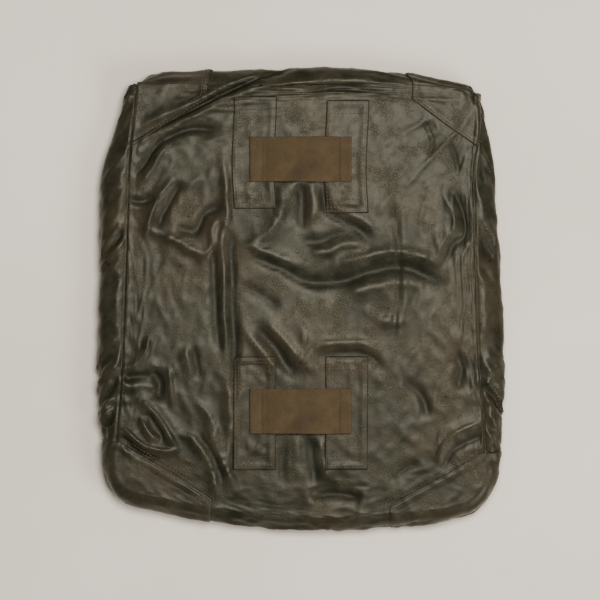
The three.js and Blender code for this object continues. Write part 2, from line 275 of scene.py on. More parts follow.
side_end = BASE_Y + CORNER_LEG
corner_x = seam_x(side_end)
bottom_half = BASE_HALF - CORNER_LEG
bottom_y = BASE_Y - CORNER_LEG * BASE_BULGE / BASE_HALF
corner = arc((-corner_x, side_end), (-BASE_HALF, BASE_Y), (-bottom_half, bottom_y), 41)
corner_middle = len(corner) // 2
left_side = np.vstack([[[-MOUTH_HALF, MOUTH_Y]], corner[: corner_middle + 1]])
belly = arc((-bottom_half, bottom_y), (0, BASE_Y - BASE_BULGE), (bottom_half, bottom_y), 60)
flip = np.array([-1, 1])
base_line = np.vstack([corner[corner_middle:], belly[1:-1], (corner[corner_middle:] * flip)[::-1]])

# Edges of the back panel, each with the same number of points as the one across from it.
down = graded(ROWS, 0.7)
across = graded(COLUMNS, 0.7)
left_edge = evenly(left_side, down)
right_edge = left_edge * flip
base_edge = evenly(base_line, across)
mouth_edge = np.stack([MOUTH_HALF * (2 * across - 1), np.full(COLUMNS + 1, MOUTH_Y)], axis=1)


def panel_points():
    u = across[None, :, None]
    v = down[:, None, None]
    sides = (1 - u) * left_edge[:, None] + u * right_edge[:, None]
    ends = (1 - v) * mouth_edge[None] + v * base_edge[None]
    corners = (1 - v) * ((1 - u) * left_edge[0] + u * right_edge[0])
    corners = corners + v * ((1 - u) * left_edge[-1] + u * right_edge[-1])
    return sides + ends - corners


def outward_from(line):
    """The direction out of the bag at each point of a line that goes round it along the seam."""
    ahead = np.gradient(line, axis=0)
    out = np.stack([ahead[:, 1], -ahead[:, 0]], axis=1)
    return out / np.linalg.norm(out, axis=1)[:, None]


# Stations go from the mouth down the left seam, round the bottom and up to the mouth again.
seam = np.vstack([left_edge, base_edge[1:-1], right_edge[::-1]])
outward = outward_from(seam)


UNEVEN = 0.003  # the left gusset stands out this much more, and the right one this much less


def reach_at(x, y):
    """How far the gusset stands out of its seam. The left gusset is the fuller one, up by the mouth."""
    side = smooth(y, side_end, -0.06)
    mouth = smooth(y, 0.110, MOUTH_Y)
    uneven = -UNEVEN * np.sign(x) * smooth(y, 0.02, 0.10)
    uneven = uneven - UNEVEN * (x > 0) * smooth(y, 0.11, 0.16)
    return BASE_REACH + (SIDE_REACH - BASE_REACH) * side - (SIDE_REACH - MOUTH_REACH) * mouth + uneven


FULLNESS = 0.65  # less than 1 keeps the gusset flat beside its seam before it turns down
LIP = 0.012  # how far the gusset turns in underneath
LIP_TURN = -144  # degrees, where the section's arc from the seam ends
GROUND_GAP = 0.0009


def rim_profile(reach, steps=200):
    """The gusset's section from its seam, as points (outwards, up) at even steps, and its length."""
    half = TOP / 2
    angle = np.radians(np.linspace(90, LIP_TURN, steps))
    out = np.where(np.cos(angle) > 0, reach, LIP) * np.cos(angle)
    full = np.where(angle > 0, np.abs(np.sin(angle)) ** FULLNESS, np.sin(angle))
    up = np.maximum(half + half * full * 1.02, GROUND_GAP)
    points = np.stack([out, np.minimum(up, TOP)], axis=1)
    return evenly(points, (np.arange(RIM_ROWS + 1) / RIM_ROWS) ** RIM_GRADE), path_length(points)


TAKEN_IN = 0.988  # cloth taken up by the wrinkles draws the sides in
TAKEN_UP = 0.994  # and the bottom and the mouth too
MOUTH_LEAN = 0.0085  # how far the mouth leans right


def plan_warp(x, y):
    """The worn bag isn't square any more: its mouth leans right and its bottom hangs lower there."""
    edge = np.abs(x) / seam_x(y)
    lean = MOUTH_LEAN * smooth(y, 0.115, MOUTH_Y + 0.005)
    waist = -0.003 * np.sign(x) * smooth(edge, 0.4, 0.98) * smooth(edge, 1.12, 1.0)
    waist = waist * smooth(y, -0.15, -0.05) * smooth(y, 0.17, 0.10)
    turn = (0.0045 * x / 0.12) * smooth(y, -0.06, -0.18)
    turn = np.clip(turn, -0.0055, 0.0055)
    tilt = smooth(y, 0.12, MOUTH_Y) * (0.0012 - 0.0070 * smooth(x, 0.06, 0.17))
    drawn_up = 0.0020 * smooth(y, -0.12, -0.20)
    left_corner = smooth(x, -0.125, -0.185) * smooth(y, -0.163, -0.208)
    right_corner = smooth(x, 0.125, 0.185) * smooth(y, -0.180, -0.212)
    fuller = 0.0020 * right_corner - 0.0042 * left_corner
    lower = 0.0004 * right_corner + 0.0024 * left_corner
    return TAKEN_IN * x + lean + waist + fuller, TAKEN_UP * y - turn + tilt + drawn_up - lower


# Creases, as curves in millimetres on the back: height in mm (less than 0 is a valley), and how
# wide the crease is on its left and on its right, going along the curve.
SLIM = 0.42  # the crisp part of a crease is this much narrower than its soft part
CRISP_SHARE = 0.50  # and this much as high as the crease
CREASES = [
    # the long pinched fold that runs from beside the upper loop almost to the bottom
    (3.4, 2.6, 4.5, [(-77, 150), (-73, 98), (-72, 79), (-77, 63), (-76, 18), (-75, -22), (-72, -68)]),
    (-2.4, 6.0, 6.0, [(-87, 60), (-85, 20), (-82, -25), (-78, -60)]),
    (-2.6, 5.0, 5.0, [(-69, 70), (-68, 20), (-66, -40), (-63, -100)]),
    (2.2, 3.0, 5.0, [(-72, -68), (-68, -120), (-71, -161), (-67, -180), (-62, -200)]),
    (3.0, 3.0, 5.0, [(-73, 80), (-86, 73), (-88, 52), (-97, 43), (-122, 56), (-142, 65)]),
    (-2.6, 6.0, 6.0, [(-76, 92), (-95, 84), (-104, 66), (-124, 70)]),
    # the diagonal from the left side up to the middle of the mouth
    (-4.6, 4.0, 3.0, [(-173, 153), (-153, 164), (-110, 186), (-73, 205), (-38, 220), (0, 230)]),
    (2.6, 5.0, 5.0, [(-165, 165), (-145, 178), (-104, 196), (-70, 213), (-40, 226)]),
    (1.8, 5.0, 7.0, [(-150, 156), (-112, 178), (-76, 196), (-40, 209), (0, 215), (40, 214)]),
    (-3.2, 7.0, 8.0, [(-145, 151), (-122, 165), (-104, 169), (-80, 168)]),
    (-2.6, 4.5, 4.5, [(-136, 160), (-148, 145), (-155, 133), (-167, 122)]),
    (2.0, 3.5, 3.5, [(-128, 158), (-140, 143), (-148, 128), (-160, 112)]),
    (3.0, 3.5, 5.0, [(-127, 118), (-131, 112), (-142, 98), (-150, 77), (-155, 60)]),
    (-2.2, 6.0, 6.0, [(-118, 116), (-134, 88), (-142, 70)]),
    (-2.4, 5.0, 5.0, [(-172, 98), (-158, 96), (-140, 100)]),
    # folds that fan out below the upper loop
    (3.2, 3.0, 4.0, [(-24, 117), (-19, 104), (-27, 70), (-45, 57)]),
    (2.8, 2.6, 3.5, [(-15, 116), (-13, 98), (-24, 70), (-33, 50)]),
    (2.0, 2.5, 2.5, [(-6, 117), (-4, 105), (-8, 92)]),
    (-3.6, 4.5, 4.5, [(0, 114), (2, 92), (2, 68)]),
    (2.4, 3.5, 3.5, [(9, 116), (12, 96), (10, 74)]),
    (-2.8, 3.5, 3.5, [(-19, 92), (-27, 62), (-40, 48)]),
    (3.0, 3.5, 4.5, [(-58, 56), (-34, 46), (-16, 38), (0, 31)]),
    (-3.0, 5.0, 6.0, [(-48, 42), (-24, 32), (-4, 24)]),
    (-3.2, 5.0, 4.5, [(22, 116), (25, 91), (35, 80), (56, 69), (70, 56)]),
    (2.6, 3.5, 3.5, [(30, 100), (38, 88), (60, 78), (76, 66)]),
    (-2.4, 4.0, 4.0, [(-2, 60), (16, 55), (36, 64), (56, 63)]),
    (2.2, 4.0, 4.0, [(4, 50), (24, 46), (44, 54), (66, 52)]),
    # the wave across the right half
    (-4.2, 7.0, 9.0, [(-20, 30), (8, 17), (42, 18), (63, 25), (91, 31), (112, 28), (133, 19), (150, 12)]),
    (2.8, 6.0, 6.0, [(30, 32), (60, 40), (92, 46), (118, 42), (140, 32)]),
    (2.0, 8.0, 8.0, [(40, 4), (68, 11), (96, 16), (120, 12)]),
    (-1.4, 2.6, 2.6, [(89, 106), (96, 56), (98, 39), (95, -5), (91, -45)]),
    (-2.2, 5.0, 5.0, [(147, 160), (154, 140), (158, 124)]),
    (-2.6, 5.5, 7.0, [(147, 112), (160, 90), (164, 64), (152, 53), (142, 34)]),
    (1.4, 5.0, 5.0, [(138, 108), (150, 88), (153, 70), (142, 56), (132, 38)]),
    (-2.2, 4.0, 4.0, [(123, 176), (131, 157), (128, 140)]),
    (-1.6, 6.0, 6.0, [(0, 202), (33, 210), (67, 206), (96, 196)]),
    (1.2, 6.0, 6.0, [(14, 214), (44, 220), (80, 216)]),
    # round the lower right patch
    (-3.0, 4.5, 4.5, [(18, -56), (36, -54), (58, -54), (70, -58), (80, -68)]),
    (2.4, 4.0, 4.0, [(10, -48), (36, -45), (62, -45), (82, -56)]),
    (2.2, 3.0, 3.0, [(2, -21), (4, -42), (12, -78)]),
    (-2.2, 9.0, 9.0, [(152, -52), (160, -70), (156, -92)]),
    (2.6, 4.0, 4.0, [(134, -162), (142, -146), (154, -134), (180, -122)]),
    (-2.4, 5.0, 5.0, [(140, -170), (150, -153), (162, -144), (186, -134)]),
    (-2.0, 5.0, 5.0, [(86, -182), (102, -170), (117, -162)]),
    (-3.2, 9.0, 9.0, [(10, -197), (36, -194), (62, -198)]),
    (2.6, 3.0, 4.0, [(18, -136), (22, -156), (27, -178)]),
    (-2.6, 4.0, 4.0, [(10, -136), (12, -160), (14, -184)]),
    (-2.4, 4.0, 4.0, [(-14, -136), (-18, -160), (-16, -186)]),
    (2.2, 3.0, 3.0, [(-4, -136), (-3, -158), (-2, -180)]),
    # the pucker on the left seam and what runs from it to the lower left corner
    (-3.6, 5.0, 5.0, [(-176, -80), (-164, -77), (-150, -75)]),
    (2.4, 4.0, 4.0, [(-176, -72), (-164, -66), (-153, -52), (-151, -36)]),
    (-4.6, 10.0, 10.0, [(-146, -70), (-140, -85), (-143, -102)]),
    (2.8, 3.0, 3.0, [(-132, -66), (-129, -84), (-128, -106)]),
    (3.2, 3.0, 3.0, [(-158, -101), (-142, -117), (-131, -134), (-124, -149)]),
    (2.6, 3.0, 3.0, [(-160, -119), (-148, -136), (-139, -139)]),
    (-2.8, 4.0, 4.0, [(-154, -110), (-142, -128), (-134, -142)]),
    (3.2, 3.0, 4.0, [(-180, -124), (-157, -145), (-136, -151), (-118, -149)]),
    (-3.0, 4.0, 4.0, [(-178, -136), (-160, -154), (-138, -160)]),
    (2.8, 3.0, 3.0, [(-114, -130), (-94, -155), (-86, -176), (-82, -198)]),
    (-2.6, 3.5, 3.5, [(-105, -130), (-90, -150), (-79, -172), (-74, -190)]),
    (2.6, 2.6, 2.6, [(-94, -122), (-83, -148), (-75, -169), (-68, -184)]),
    (2.2, 3.0, 3.0, [(-106, -100), (-90, -117), (-79, -148)]),
    (2.4, 3.0, 3.0, [(-114, -48), (-108, -78)]),
    (-2.4, 4.0, 4.0, [(-106, -46), (-100, -80)]),
    # between the loops
    (-3.6, 6.0, 6.0, [(-43, -28), (-24, -50), (-7, -78)]),
    (2.8, 4.0, 4.0, [(-34, -22), (-14, -44), (0, -61), (-3, -68)]),
    (2.2, 4.0, 4.0, [(-56, -30), (-36, -54), (-20, -76)]),
    (-2.0, 3.0, 3.0, [(-9, -74), (0, -60), (12, -40)]),
    (-1.8, 6.0, 6.0, [(-60, 14), (-40, 4), (-20, -12)]),
    (1.8, 6.0, 6.0, [(60, -10), (84, -22), (110, -24)]),
    (-1.8, 7.0, 7.0, [(100, -80), (120, -96), (128, -120)]),
]


def crease_height(x, y, creases, slimness=1.0):
    """How high the creases lift the cloth at each point, in metres."""
    at = np.stack([x, y], axis=1) * 1000
    total = np.zeros(len(at))
    for height, left, right, corners in creases:
        left, right = left * slimness, right * slimness
        line = curve_through(corners, 6 * len(corners))
        near = (np.abs(at - line.mean(0)) < np.ptp(line, axis=0) / 2 + 4 * max(left, right)).all(1)
        p = at[near]
        start = line[:-1]
        step = np.diff(line, axis=0)
        share = np.einsum("psk,sk->ps", p[:, None] - start, step) / (step**2).sum(1)
        nearest = start + np.clip(share, 0, 1)[..., None] * step
        gap = np.linalg.norm(p[:, None] - nearest, axis=2)
        best = gap.argmin(1)
        rows = np.arange(len(p))
        offset = p - start[best]
        sided = step[best, 0] * offset[:, 1] - step[best, 1] * offset[:, 0] > 0
        width = np.where(sided, left, right)
        along = (best + np.clip(share[rows, best], 0, 1)) / len(step)
        ends = smooth(along, 0, 0.22) * smooth(along, 1, 0.78)
        closed = smooth(along, -0.01, 0.05) * smooth(along, 1.01, 0.95)
        total[near] += height * bell(gap[rows, best], 0, width) * (0.25 + 0.75 * ends) * closed
    return total / 1000


def rumple(points, size, seed, octaves=3):
    """Smooth random heights from -1 to 1 at each point, with lumps of about the given size."""
    shift = Vector((seed, 1.7 * seed, 0.3 * seed))
    return np.array([noise.fractal(Vector(p) / size + shift, 0.9, 2.0, octaves) for p in points.tolist()])


SKIN_PIECES = ["back_panel", "side_gusset_left", "bottom_fold", "side_gusset_right", "top_fold"]


def build_skin():
    """The skin's points before it wrinkles, its flat pattern, its faces and each face's piece."""
    panel = panel_points()
    rows, columns = panel.shape[:2]
    flat = [panel.reshape(-1, 2)]
    solid = [np.column_stack([panel.reshape(-1, 2), np.full(rows * columns, TOP)])]
    index = numbered(rows, columns)
    edge = np.concatenate([index[:, 0], index[-1, 1:-1], index[::-1, -1]])
    count = rows * columns

    stations = len(seam)
    rim_solid = np.zeros((stations, RIM_ROWS, 3))
    rim_flat = np.zeros((stations, RIM_ROWS, 2))
    reach = reach_at(seam[:, 0], seam[:, 1])
    row_shares = (np.arange(1, RIM_ROWS + 1) / RIM_ROWS) ** RIM_GRADE
    for k in range(stations):
        profile, length = rim_profile(reach[k])
        out, up = profile[1:, 0], profile[1:, 1]
        rim_solid[k, :, :2] = seam[k] + outward[k] * out[:, None]
        rim_solid[k, :, 2] = up
        rim_flat[k] = seam[k] + outward[k] * (length * row_shares)[:, None]
    flat.append(rim_flat.reshape(-1, 2))
    solid.append(rim_solid.reshape(-1, 3))
    rim = np.hstack([edge[:, None], count + numbered(stations, RIM_ROWS)])
    count += stations * RIM_ROWS

    angle = np.radians(np.linspace(90, -90, FOLD_ROWS + 1))[1:]
    place = 2 * across - 1
    fold_reach = MOUTH_REACH + (FOLD_REACH - MOUTH_REACH) * (1 - place**2)
    middle, half = (TOP + FLAP_TOP) / 2, (TOP - FLAP_TOP) / 2
    fold_solid = np.zeros((FOLD_ROWS, columns, 3))
    narrow = np.linspace(0, 1, FOLD_ROWS)[:, None] * (MOUTH_HALF - FLAP_HALF)
    fold_solid[..., 0] = place * (MOUTH_HALF - narrow)
    fold_solid[..., 1] = MOUTH_Y + fold_reach * np.cos(angle)[:, None]
    fold_solid[..., 2] = middle + half * np.sin(angle)[:, None]
    fold_flat = np.zeros((FOLD_ROWS, columns, 2))
    fold_flat[..., 0] = fold_solid[..., 0]
    fold_flat[..., 1] = MOUTH_Y + np.linspace(0, FOLD_LENGTH, FOLD_ROWS + 1)[1:, None]
    flat.append(fold_flat.reshape(-1, 2))
    solid.append(fold_solid.reshape(-1, 3))
    fold = np.vstack([index[0], count + numbered(FOLD_ROWS, columns)])

    spans = (slice(ROWS + 1), slice(ROWS, ROWS + COLUMNS + 1), slice(ROWS + COLUMNS, None))
    grids = [index[::-1], *(rim[span][::-1, ::-1] for span in spans), fold]
    faces = [quad_grid(grid) for grid in grids]
    owner = np.repeat(np.arange(len(grids)), [len(quads) for quads in faces])
    return np.vstack(solid), np.vstack(flat), np.vstack(faces), owner


solid, pattern, faces, owner = build_skin()


def mesh_object(name, points, faces):
    """A smoothly shaded mesh."""
    data = bpy.data.meshes.new(name)
    data.from_pydata(points.tolist(), [], faces)
    data.polygons.foreach_set("use_smooth", np.ones(len(faces), bool))
    data.update()
    made = bpy.data.objects.new(name, data)
    bpy.context.scene.collection.objects.link(made)
    return made


def read(items, name, kind, width=1):
    """One property of all vertices, loops or faces, as an array."""
    made = np.empty(len(items) * width, kind)
    items.foreach_get(name, made)
    return made if width == 1 else made.reshape(-1, width)


def positions(thing):
    return read(thing.data.vertices, "co", np.float32, 3).astype(float)


def normals(thing):
    return read(thing.data.vertex_normals, "vector", np.float32, 3).astype(float)


def set_positions(thing, points):
    thing.data.vertices.foreach_set("co", points.astype(np.float32).ravel())
    thing.data.update()


def corner_vertices(thing):
    """The vertex at each corner of each face."""
    return read(thing.data.loops, "vertex_index", np.int32)


def add_pattern(thing, places):
    """Keeps each vertex's place on the flat cloth as UV."""
    corners = places[corner_vertices(thing)].astype(np.float32)
    thing.data.uv_layers.new(name="pattern").data.foreach_set("uv", corners.ravel())


def apply(thing, name):
    deselect()
    bpy.context.view_layer.objects.active = thing
    thing.select_set(True)
    bpy.ops.object.modifier_apply(modifier=name)


skin = mesh_object("skin", solid, faces.tolist())
add_pattern(skin, pattern)
piece_of = skin.data.attributes.new("piece", "INT", "FACE")
piece_of.data.foreach_set("value", owner.astype(np.int32))

SOFT_SHARE = 0.72  # how much of each crease's height the cloth starts with
AFTER_SHARE = 0.20  # how much of that is added again after it has settled
GROWTH = 0.022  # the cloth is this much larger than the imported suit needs
SETTLING = 16  # frames of simulation
CLOTH_LIMIT = 0.007  # the cloth may stand this far off the plain shape
CLOTH_SETTINGS = {
    "quality": 5, "mass": 0.25, "air_damping": 3, "shrink_min": -GROWTH, "pin_stiffness": 0.6,
    "tension_stiffness": 25, "compression_stiffness": 25, "shear_stiffness": 8, "bending_stiffness": 0.6,
    "tension_damping": 15, "compression_damping": 15, "shear_damping": 15, "bending_damping": 2,
}


def wrinkle(skin, lift):
    """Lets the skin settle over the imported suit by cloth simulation, and gives its points."""
    start = positions(skin)
    out = normals(skin)
    polygons = corner_vertices(skin).reshape(-1, 4).tolist()
    filling = mesh_object("filling", start + (0.8 * lift - 0.0030)[:, None] * out, polygons)
    filling.modifiers.new("Collision", "COLLISION")
    filling.collision.thickness_outer = 0.0010
    filling.collision.cloth_friction = 10
    filling.collision.use_culling = False

    cloth = mesh_object("cloth", start + lift[:, None] * out, polygons)
    x, y, z = start.T
    held = smooth(z, 0.016, 0.004) + smooth(y, MOUTH_Y + 0.010, MOUTH_Y + 0.020)
    loose = 0.03 + 0.10 * smooth(z, 0.030, 0.018)
    weight = np.clip(np.maximum(held, loose), 0, 1).round(2)
    group = cloth.vertex_groups.new(name="held")
    for value in np.unique(weight):
        group.add(np.nonzero(weight == value)[0].tolist(), float(value), "REPLACE")
    modifier = cloth.modifiers.new("Cloth", "CLOTH")
    for setting, value in CLOTH_SETTINGS.items():
        setattr(modifier.settings, setting, value)
    modifier.settings.vertex_group_mass = "held"
    modifier.collision_settings.distance_min = 0.0010
    modifier.collision_settings.use_self_collision = False
    modifier.point_cache.frame_start = 1
    modifier.point_cache.frame_end = SETTLING
    for frame_number in range(1, SETTLING + 1):
        bpy.context.scene.frame_set(frame_number)
    shown = cloth.evaluated_get(bpy.context.evaluated_depsgraph_get())
    settled = np.array([v.co for v in shown.data.vertices])
    bpy.context.scene.frame_set(1)
    for thing in (filling, cloth):
        bpy.data.objects.remove(thing)
    return settled


base = positions(skin)
base_normals = normals(skin)
crease = crease_height(*plan_warp(base[:, 0], base[:, 1]), CREASES)
lift = SOFT_SHARE * crease * facing_up(base[:, 2])
settled = base + lift[:, None] * base_normals
settled = wrinkle(skin, lift)
shift = settled - base
far = np.linalg.norm(shift, axis=1)
settled = base + shift * np.minimum(1, CLOTH_LIMIT / np.maximum(far, 1e-9))[:, None]
settled += AFTER_SHARE * lift[:, None] * base_normals
settled[:, 0], settled[:, 1] = plan_warp(settled[:, 0], settled[:, 1])
set_positions(skin, settled)
finer = skin.modifiers.new("finer", "SUBSURF")
finer.levels = finer.render_levels = 1
apply(skin, "finer")

BASE_PATCH_LENGTH = 0.0480  # the bottom patches reach this far up the side seams and cover them
SEAM_STEPS = 900


def per_vertex_pattern(thing):
    """Each vertex's place on the flat cloth."""
    made = np.zeros((len(thing.data.vertices), 2))
    made[corner_vertices(thing)] = read(thing.data.uv_layers["pattern"].data, "uv", np.float32, 2)
    return made


def averaged(values, quads, rounds):
    """Values smoothed over the mesh by averaging each vertex with its neighbours."""
    a = np.concatenate([quads[:, k] for k in range(4)])
    b = np.concatenate([quads[:, (k + 1) % 4] for k in range(4)])
    ends, others = np.concatenate([a, b]), np.concatenate([b, a])
    size = len(values)
    count = np.bincount(ends, minlength=size)[:, None]
    made = values.copy()
    for _ in range(rounds):
        total = [np.bincount(ends, column[others], minlength=size) for column in made.T]
        made = np.stack(total, axis=1) / np.maximum(count, 1)
    return made


def along_seam(flat):
    """For each place on the flat cloth, how far it is from the seam, and how far along the seam."""
    line = evenly(seam, np.linspace(0, 1, SEAM_STEPS))
    length = path_length(line)
    near, place = np.empty(len(flat)), np.empty(len(flat))
    for first in range(0, len(flat), 4000):
        part = slice(first, first + 4000)
        gap = np.linalg.norm(flat[part, None] - line[None], axis=2)
        near[part] = gap.min(1)
        place[part] = gap.argmin(1) / (len(line) - 1) * length
    return near, place


quads = corner_vertices(skin).reshape(-1, 4)
flat = per_vertex_pattern(skin)
face_piece = read(skin.data.attributes["piece"].data, "value", np.int32)
on_rim = np.zeros(len(flat), bool)
on_rim[quads[(face_piece >= 1) & (face_piece <= 3)].ravel()] = True
on_fold = np.zeros(len(flat), bool)
on_fold[quads[face_piece == 4].ravel()] = True
from_seam, seam_place = along_seam(flat)


def seam_relief():
    """Groove, allowance and puckers at the side seams, and the gussets' cross wrinkles."""
    slanted = seam_place + 1.4 * from_seam * np.clip(flat[:, 0] / 0.12, -1, 1)
    place = np.column_stack([seam_place, 0.35 * from_seam, 0 * from_seam])
    puckers = rumple(place, 0.011, 3.0, 2)
    waves = rumple(np.column_stack([slanted, 0.2 * from_seam, 0 * from_seam]), 0.034, 8.0, 3)
    waves = waves + 0.8 * np.clip(1 - 3.5 * np.abs(waves), 0, 1) - 0.15
    patchy = 0.35 + smooth(rumple(place * [1.0, 0.0, 1.0], 0.090, 17.0, 2), -0.35, 0.4)
    patch_top = BASE_Y + BASE_PATCH_LENGTH
    sewn = smooth(flat[:, 1], patch_top - 0.004, patch_top + 0.002)
    groove = -0.0009 * bell(from_seam, 0, 0.0011)
    allowance = 0.0003 * bell(from_seam, 0.0032, 0.0022) * np.where(on_rim, 0.4, 1.0)
    made = sewn * (groove + allowance + 0.0008 * puckers * patchy * bell(from_seam, 0, 0.014))
    near = smooth(from_seam, 0.001, 0.008) * (1 - 0.66 * smooth(from_seam, 0.012, 0.027))
    near = near * smooth(from_seam, 0.058, 0.042)
    gathered = 0.3 + 0.7 * smooth(flat[:, 1], -0.185, -0.150)
    made += on_rim * near * (0.0054 * waves + 0.0013 * puckers) * patchy * gathered
    return np.where(on_fold & ~on_rim, 0, made)


def fold_relief():
    waves = rumple(np.column_stack([flat[:, 0], 0.3 * flat[:, 1], 0 * flat[:, 0]]), 0.026, 21.0, 3)
    return on_fold * smooth(flat[:, 1], MOUTH_Y, MOUTH_Y + 0.012) * 0.0018 * waves


# Ridges over what is sewn inside: the edges of the loops' underlays, and their slanted ends.
UNDERLAYS = [
    (0.9, 1.0, 1.6, [(-50, 118), (-51, 104), (-51, 92)]),
    (0.9, 1.2, 1.6, [(-50, 97), (-45, 104), (-37, 112)]),
    (0.8, 1.0, 1.6, [(-50, 160), (-51, 172), (-50, 184)]),
    (0.8, 1.2, 1.2, [(-50, 178), (-42, 170), (-34, 164)]),
    (0.9, 1.6, 1.0, [(50, 117), (51, 104), (50, 90)]),
    (0.9, 1.2, 1.2, [(50, 98), (43, 106), (35, 113)]),
    (0.7, 1.2, 1.2, [(50, 161), (50, 174), (51, 186)]),
    (0.9, 1.0, 1.6, [(-50, -88), (-51, -76), (-50, -66)]),
    (0.9, 1.2, 1.2, [(-48, -68), (-42, -76), (-34, -87)]),
    (0.8, 1.2, 1.2, [(-50, -136), (-51, -148), (-50, -160)]),
    (0.9, 1.2, 1.2, [(-50, -156), (-42, -148), (-34, -138)]),
    (0.9, 1.2, 1.2, [(50, -88), (50, -76), (51, -64)]),
    (0.8, 1.2, 1.2, [(50, -136), (51, -150), (50, -160)]),
    (0.8, 1.2, 1.2, [(50, -155), (43, -147), (35, -138)]),
]


def fine_relief(points):
    small = rumple(points, 0.012, 5.0, 2)
    middle = rumple(points * [1.0, 0.7, 1.0], 0.032, 13.0, 2)
    ridged = 1 - np.abs(middle) * 2.4
    return 0.00018 * small + 0.00050 * np.clip(ridged, 0, 1) ** 3


def crisp_relief(points):
    """The crisp part of the creases, and the ridges over the underlays."""
    x, y, z = points.T
    return facing_up(z) * (
        CRISP_SHARE * crease_height(x, y, CREASES, SLIM) + crease_height(x, y, UNDERLAYS)
    )


points = positions(skin)
finish_relief = seam_relief() + fold_relief() + fine_relief(points) + crisp_relief(points)
points += finish_relief[:, None] * normals(skin)
points[:, 2] = np.maximum(points[:, 2], FABRIC)
set_positions(skin, points)
skin_normals = normals(skin)
relief = ((points - averaged(points, quads, 14)) * skin_normals).sum(1)
relief = averaged(relief[:, None], quads, 1)[:, 0] * 1000
flat_tree = BVHTree.FromPolygons([(*p, 0.0) for p in flat.tolist()], quads.tolist())


def unwarp(x, y):
    """The place on the flat cloth that ends up at (x, y)."""
    x, y = np.asarray(x, float), np.asarray(y, float)
    fx, fy = x, y
    for _ in range(6):
        wx, wy = plan_warp(fx, fy)
        fx, fy = fx + x - wx, fy + y - wy
    return np.stack([fx, fy], axis=-1)


def lay_on(places, height):
    """Points on the wrinkled skin over the given places of its flat pattern, raised by height."""
    places = np.asarray(places, float)
    height = np.broadcast_to(height, len(places))
    made = np.empty((len(places), 3))
    for k, (x, y) in enumerate(places.tolist()):
        hit, _, face, _ = flat_tree.ray_cast(Vector((x, y, 1)), Vector((0, 0, -1)))
        if hit is None:
            hit, _, face, _ = flat_tree.find_nearest(Vector((x, y, 0)))
        ring = quads[face]
        share = np.array(poly_3d_calc([Vector((*flat[v], 0)) for v in ring], hit))
        out = share @ skin_normals[ring]
        made[k] = share @ points[ring] + height[k] * out / np.linalg.norm(out)
    return made


def finish(piece, name, look):
    """Gives the piece its material and hides the node that it replaces."""
    piece.data.materials.append(look)
    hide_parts(name)


def thicken(piece, thickness, offset):
    solid = piece.modifiers.new("thickness", "SOLIDIFY")
    solid.thickness = thickness
    solid.offset = offset
    solid.use_even_offset = False
    apply(piece, "thickness")


def finished_cloth(name, points, places, quads, look, bulge=None, offset=-1, outward_normals=None):
    """A piece of cloth of its full thickness, with its flat pattern as UV and its bulges as relief."""
    made = mesh_object(name + "_cloth", points, quads.tolist())
    add_pattern(made, places)
    if bulge is None:
        bulge = ((points - averaged(points, quads, 10)) * normals(made)).sum(1) * 1000
    attribute = made.data.attributes.new("relief", "FLOAT", "POINT")
    attribute.data.foreach_set("value", bulge.astype(np.float32))
    thicken(made, FABRIC, offset)
    if outward_normals is not None:
        both = np.vstack([outward_normals, -outward_normals])
        made.data.normals_split_custom_set_from_vertices(both.tolist())
    finish(made, name, look)
    return made


def flat_area(places, quads):
    a, b, c, d = (places[quads[:, k]] for k in range(4))
    cross = (c - a)[:, 0] * (d - b)[:, 1] - (c - a)[:, 1] * (d - b)[:, 0]
    return float(np.abs(cross).sum() / 2)


def declare(piece, places, quads, held, rests_on):
    size = np.ptp(places, axis=0)
    area = min(flat_area(places, quads), size.prod())


def group_sockets(group, side, sockets):
    for kind, name in sockets:
        group.interface.new_socket(name, in_out=side, socket_type=f"NodeSocket{kind}")


STAIN_DARK = (0.004, 0.003, 0.002, 1)
# The colour painted into the hollows of the creases as shade.
HOLLOW_PAINTED_SHADE = (0.008, 0.009, 0.006, 1)


